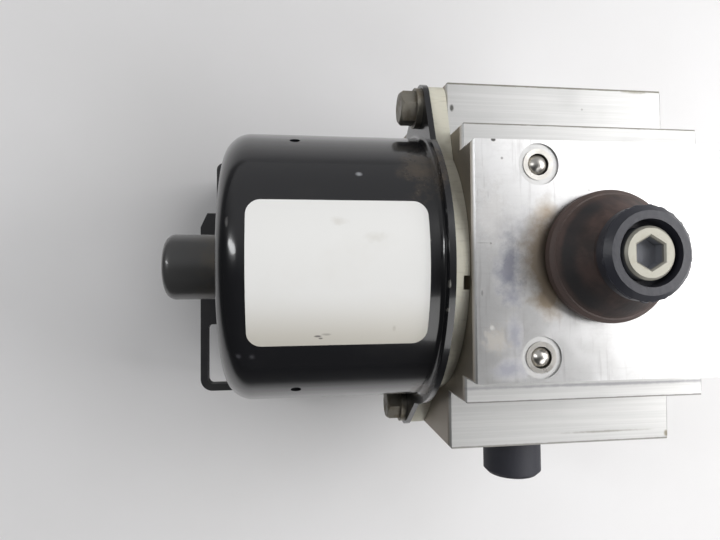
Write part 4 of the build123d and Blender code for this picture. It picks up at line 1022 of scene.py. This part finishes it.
def make_flash_recipe() -> Recipe:
    """A thin ragged ring of moulding flash round each point.

    Returns:
        The recipe.
    """
    recipe = Recipe("Flash", {"Radius": 0.01, "Thickness": 0.0002, "Wander": 0.0003, "Scale": 600.0})
    graph, source = recipe.graph, recipe.source
    ring = graph.node("GeometryNodeCurvePrimitiveCircle")
    ring.inputs["Resolution"].default_value = 120
    graph.join(source.outputs["Radius"], ring.inputs["Radius"])
    spot = graph.node("GeometryNodeInputPosition").outputs[0]
    uneven = graph.math("SUBTRACT", graph.noise(spot, source.outputs["Scale"], 3.0), 0.5)
    outward = graph.node("ShaderNodeVectorMath", operation="NORMALIZE")
    graph.join(spot, outward.inputs[0])
    reach = graph.node("ShaderNodeVectorMath", operation="SCALE")
    graph.join(outward.outputs[0], reach.inputs[0])
    graph.join(graph.math("MULTIPLY", uneven, source.outputs["Wander"]), reach.inputs["Scale"])
    ragged = graph.node("GeometryNodeSetPosition")
    graph.join(ring.outputs[0], ragged.inputs["Geometry"])
    graph.join(reach.outputs[0], ragged.inputs["Offset"])
    section = graph.node("GeometryNodeCurvePrimitiveCircle")
    section.inputs["Resolution"].default_value = 6
    graph.join(source.outputs["Thickness"], section.inputs["Radius"])
    swept = graph.node("GeometryNodeCurveToMesh")
    graph.join(ragged.outputs[0], swept.inputs["Curve"])
    graph.join(section.outputs[0], swept.inputs["Profile Curve"])
    placed = graph.node("GeometryNodeInstanceOnPoints")
    graph.join(source.outputs["Geometry"], placed.inputs["Points"])
    graph.join(swept.outputs[0], placed.inputs["Instance"])
    recipe.end(placed.outputs[0])
    return recipe


@dataclass(frozen=True)
class PortThreads:
    """Threads cut in the six pipe ports of the block's end face.

    Attributes:
        wheel_y: Half the wheel ports' spacing across, in millimetres.
        wheel_z: Heights of the wheel ports.
        master_y: Half the master ports' spacing across.
        master_z: Height of the master ports.
        start: How far below the end face a thread starts.
        length: Threaded length.
    """

    wheel_y: float = 18.0
    wheel_z: tuple[float, float] = (70.0, 96.0)
    master_y: float = 30.0
    master_z: float = 50.0
    start: float = 1.6
    length: float = 10.2

    def build(self, places: Places, material: bpy.types.Material) -> list[bpy.types.Object]:
        """Winds the ridges.

        Args:
            places: Shared positions.
            material: The block's finish.

        Returns:
            One piece for the wheel ports and one for the master ports.
        """
        recipe = make_thread_recipe()
        mouth = places.block_end - self.start * MM
        wheels = [Vector((mouth, side * self.wheel_y * MM, z * MM)) for side in (1, -1) for z in self.wheel_z]
        masters = [Vector((mouth, side * self.master_y * MM, self.master_z * MM)) for side in (1, -1)]
        common = {"Length": self.length * MM, "Ridge": 0.42 * MM}
        return [
            recipe.run("wheel_port_threads", wheels, {"Radius": 5.0 * MM, "Pitch": 1.0 * MM, **common}, material),
            recipe.run("master_port_threads", masters, {"Radius": 6.0 * MM, "Pitch": 1.25 * MM, **common}, material),
        ]

    def dress(self, places: Places, material: bpy.types.Material) -> None:
        """Builds the threads and fixes them to the block.

        Args:
            places: Shared positions.
            material: The block's finish.
        """
        for piece in self.build(places, material):
            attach(piece, Body.HOUSING.value)


@dataclass(frozen=True)
class MountFlash:
    """The ragged line of flash that the mould left round the top mount's collar.

    Attributes:
        radius: The collar's radius, in millimetres.
        below_top: How far the line lies below the collar's top.
        thickness: Half the line's thickness.
        wander: How unevenly it stands out.
    """

    radius: float = 9.86
    below_top: float = 1.5
    thickness: float = 0.20
    wander: float = 1.7

    def dress(self, places: Places, material: bpy.types.Material) -> None:
        """Builds the line and fixes it to the collar.

        Args:
            places: Shared positions.
            material: The mount's rubber.
        """
        values = {"Radius": self.radius * MM, "Thickness": self.thickness * MM, "Wander": self.wander * MM}
        middle = Vector((places.mount[0], places.mount[1], places.collar_top - self.below_top * MM))
        piece = make_flash_recipe().run("top_mount_flash", [middle], values, material)
        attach(piece, Body.HOUSING.value)


@dataclass(frozen=True)
class Springs:
    """Coil springs that shorten as a piston, brush or plunger presses on them.

    Attributes:
        reach: How far round the moving piece's centre line a coil may lie, in millimetres.
    """

    reach: float = 12.0

    def build(self, name: str, node: bpy.types.Object, mover: str, along: int) -> bpy.types.Object:
        """Copies the one coil of a node that stands in line with a moving piece.

        Args:
            name: Name of the new piece.
            node: The CAD node, which may hold several coils.
            mover: The moving piece's node.
            along: Index of the axis on which the coil shortens.

        Returns:
            The coil, at rest.
        """
        low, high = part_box(mover)
        mesh = node.data.copy()
        mesh.transform(node.matrix_world)
        across = [axis for axis in range(3) if axis != along]
        form = bmesh.new()
        form.from_mesh(mesh)
        apart = [
            vertex for vertex in form.verts
            if math.dist([vertex.co[a] for a in across], [(low[a] + high[a]) / 2 for a in across]) > self.reach * MM
        ]
        bmesh.ops.delete(form, geom=apart, context="VERTS")
        form.to_mesh(mesh)
        form.free()
        piece = bpy.data.objects.new(name, mesh)
        bpy.context.scene.collection.objects.link(piece)
        LOG.info("%s: %d faces", name, len(mesh.polygons))
        return piece

    def dress(self) -> None:
        """Builds a coil for each joint that squeezes one, fixes it to the housing and hides the CAD node that held it.
        """
        for joint in frame["joints"]:
            for squeezed in joint.get("deforming_nodes", []):
                node = squeezed["node"]
                letter = squeezed["mode"][-1]
                along = "xyz".index(letter)
                piece = self.build(f"{joint['child']}_coil", frame["nodes"][node], joint["child"], along)
                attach(piece, Body.HOUSING.value)
                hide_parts(node)
                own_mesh(piece)


# --- surroundings -----------------------------------------------------------------------------------


@dataclass(frozen=True)
class View:
    """The camera: where it hangs above the table and how it is tilted.

    Attributes:
        place: Camera position relative to the motor's axis, in millimetres.
        tilt: Turns about X, Y and Z in degrees; a zero turn looks straight down.
        lens: Focal length in millimetres on a 36 mm film width.
    """

    place: tuple[float, float, float] = (-40.53, -4.98, 150.63)
    tilt: tuple[float, float, float] = (1.549, -7.476, -0.460)
    lens: float = 26.48

    def build(self, places: Places) -> None:
        """Adds the camera and makes it the scene's.

        Args:
            places: Shared positions.
        """
        data = bpy.data.cameras.new("camera")
        data.lens = self.lens
        data.sensor_width = FILM_WIDTH
        data.clip_start = 0.005
        camera = bpy.data.objects.new("camera", data)
        camera.location = Vector(self.place) * MM + Vector((0.0, 0.0, places.axis_z))
        camera.rotation_euler = [math.radians(angle) for angle in self.tilt]
        bpy.context.scene.collection.objects.link(camera)
        bpy.context.scene.camera = camera


@dataclass(frozen=True)
class Softbox:
    """One area light aimed at the object.

    Attributes:
        name: The light's name.
        place: Its position in metres.
        size: Width and height in metres.
        power: Watts.
        colour: Light colour.
    """

    name: str
    place: tuple[float, float, float]
    size: tuple[float, float]
    power: float
    colour: Colour = (1.0, 1.0, 1.0)

    def build(self, target: Vector) -> None:
        """Adds the light.

        Args:
            target: The point it faces.
        """
        data = bpy.data.lights.new(self.name, "AREA")
        data.shape = "ELLIPSE"
        data.size, data.size_y = self.size
        data.energy = self.power
        data.color = self.colour
        light = bpy.data.objects.new(self.name, data)
        light.location = self.place
        light.rotation_euler = (target - light.location).to_track_quat("-Z", "Y").to_euler()
        bpy.context.scene.collection.objects.link(light)


LIGHTS = (
    Softbox("lamp_right", (0.55, 0.0, 0.45), (0.40, 0.40), 2.6, (1.0, 0.99, 0.98)),
    Softbox("lamp_high", (0.36, 0.27, 0.52), (0.40, 0.40), 0.8, (1.0, 0.995, 0.99)),
    Softbox("window_left", (-0.64, 0.17, 0.58), (0.12, 0.42), 1.55, (0.98, 0.99, 1.0)),
    Softbox("lamp_near", (0.27, -0.41, 0.47), (0.50, 0.50), 1.40, (1.0, 0.995, 0.99)),
)


ROOM = (
    ((0.0, 0.90, 0.45), 0.20, 0.85, (0.46, 0.46, 0.465)),
    ((0.75, 0.35, 0.55), 0.78, 0.97, (0.95, 0.95, 0.96)),
)


def build_table() -> None:
    """Adds the pale table top under the object, with painted shade away from it that only reflected and bounced light
    sees.
    """
    bpy.ops.mesh.primitive_plane_add(size=3.0, location=(0.0, 0.0, 0.0))
    table = bpy.context.object
    table.name = "table"
    material = bpy.data.materials.new("table_top")
    material.use_nodes = True
    graph = Graph(material.node_tree)
    surface = material.node_tree.nodes["Principled BSDF"]
    place = graph.place()
    cloud = graph.ramp(graph.noise(place, 9.0, 5.0), 0.35, 0.7)
    base = graph.mix(graph.math("MULTIPLY", cloud, 0.35), (0.785, 0.78, 0.785), (0.71, 0.705, 0.70))
    x, y, _ = graph.parts(place)
    # Painted shade: away from the object the table turns nearly black for reflected and bounced light, standing in for
    # table out of the light; the camera still sees it pale.
    unseen = graph.math("SUBTRACT", 1.0, graph.node("ShaderNodeLightPath").outputs["Is Camera Ray"])
    away = graph.math("MAXIMUM", graph.ramp(y, -0.15, -0.26), graph.ramp(x, -0.20, -0.34))
    dim = graph.math("MULTIPLY", away, unseen)
    base = graph.mix(dim, base, (0.05, 0.05, 0.05))
    graph.join(base, surface.inputs["Base Color"])
    surface.inputs["Roughness"].default_value = 0.5
    table.data.materials.append(material)


def build_world() -> None:
    """A dim room with a bright patch overhead on the lamp's side and a pale wall on the far side."""
    world = bpy.data.worlds.new("room")
    bpy.context.scene.world = world
    world.use_nodes = True
    graph = Graph(world.node_tree)
    background = world.node_tree.nodes["Background"]
    outward = graph.node("ShaderNodeTexCoord").outputs["Generated"]
    colour = ROOM_DARK
    for towards, low, high, glow in ROOM:
        facing = graph.node("ShaderNodeVectorMath", operation="DOT_PRODUCT")
        graph.join(outward, facing.inputs[0])
        facing.inputs[1].default_value = Vector(towards).normalized()
        lit = graph.ramp(facing.outputs["Value"], low, high)
        colour = graph.mix(lit, colour, glow)
    seen = graph.node("ShaderNodeLightPath").outputs["Is Camera Ray"]
    graph.join(graph.mix(seen, colour, BACKDROP), background.inputs["Color"])


def assign(materials: dict[Slot, bpy.types.Material]) -> None:
    """Gives every CAD node the material of its slot.

    Args:
        materials: Material by slot.
    """
    for part in frame["record"]["subparts"]:
        node = frame["nodes"][part["node"]]
        finish = materials[Slot(part["material_slot"])]
        if node.data.materials:
            for index in range(len(node.data.materials)):
                node.data.materials[index] = finish
        else:
            node.data.materials.append(finish)
    LOG.info("painted %d nodes", len(frame["nodes"]))


def main() -> None:
    """Builds the looks of the whole scene."""
    places = Places.from_frame()
    materials = Paintshop(places).paint()
    assign(materials)
    PortThreads().dress(places, materials[Slot.BLOCK])
    MountFlash().dress(places, materials[Slot.RUBBER])
    Springs().dress()
    build_table()
    build_world()
    for light in LIGHTS:
        light.build(places.mount)
    View().build(places)
    bpy.context.scene.view_settings.view_transform = "Standard"


if __name__ == "__main__":
    main()
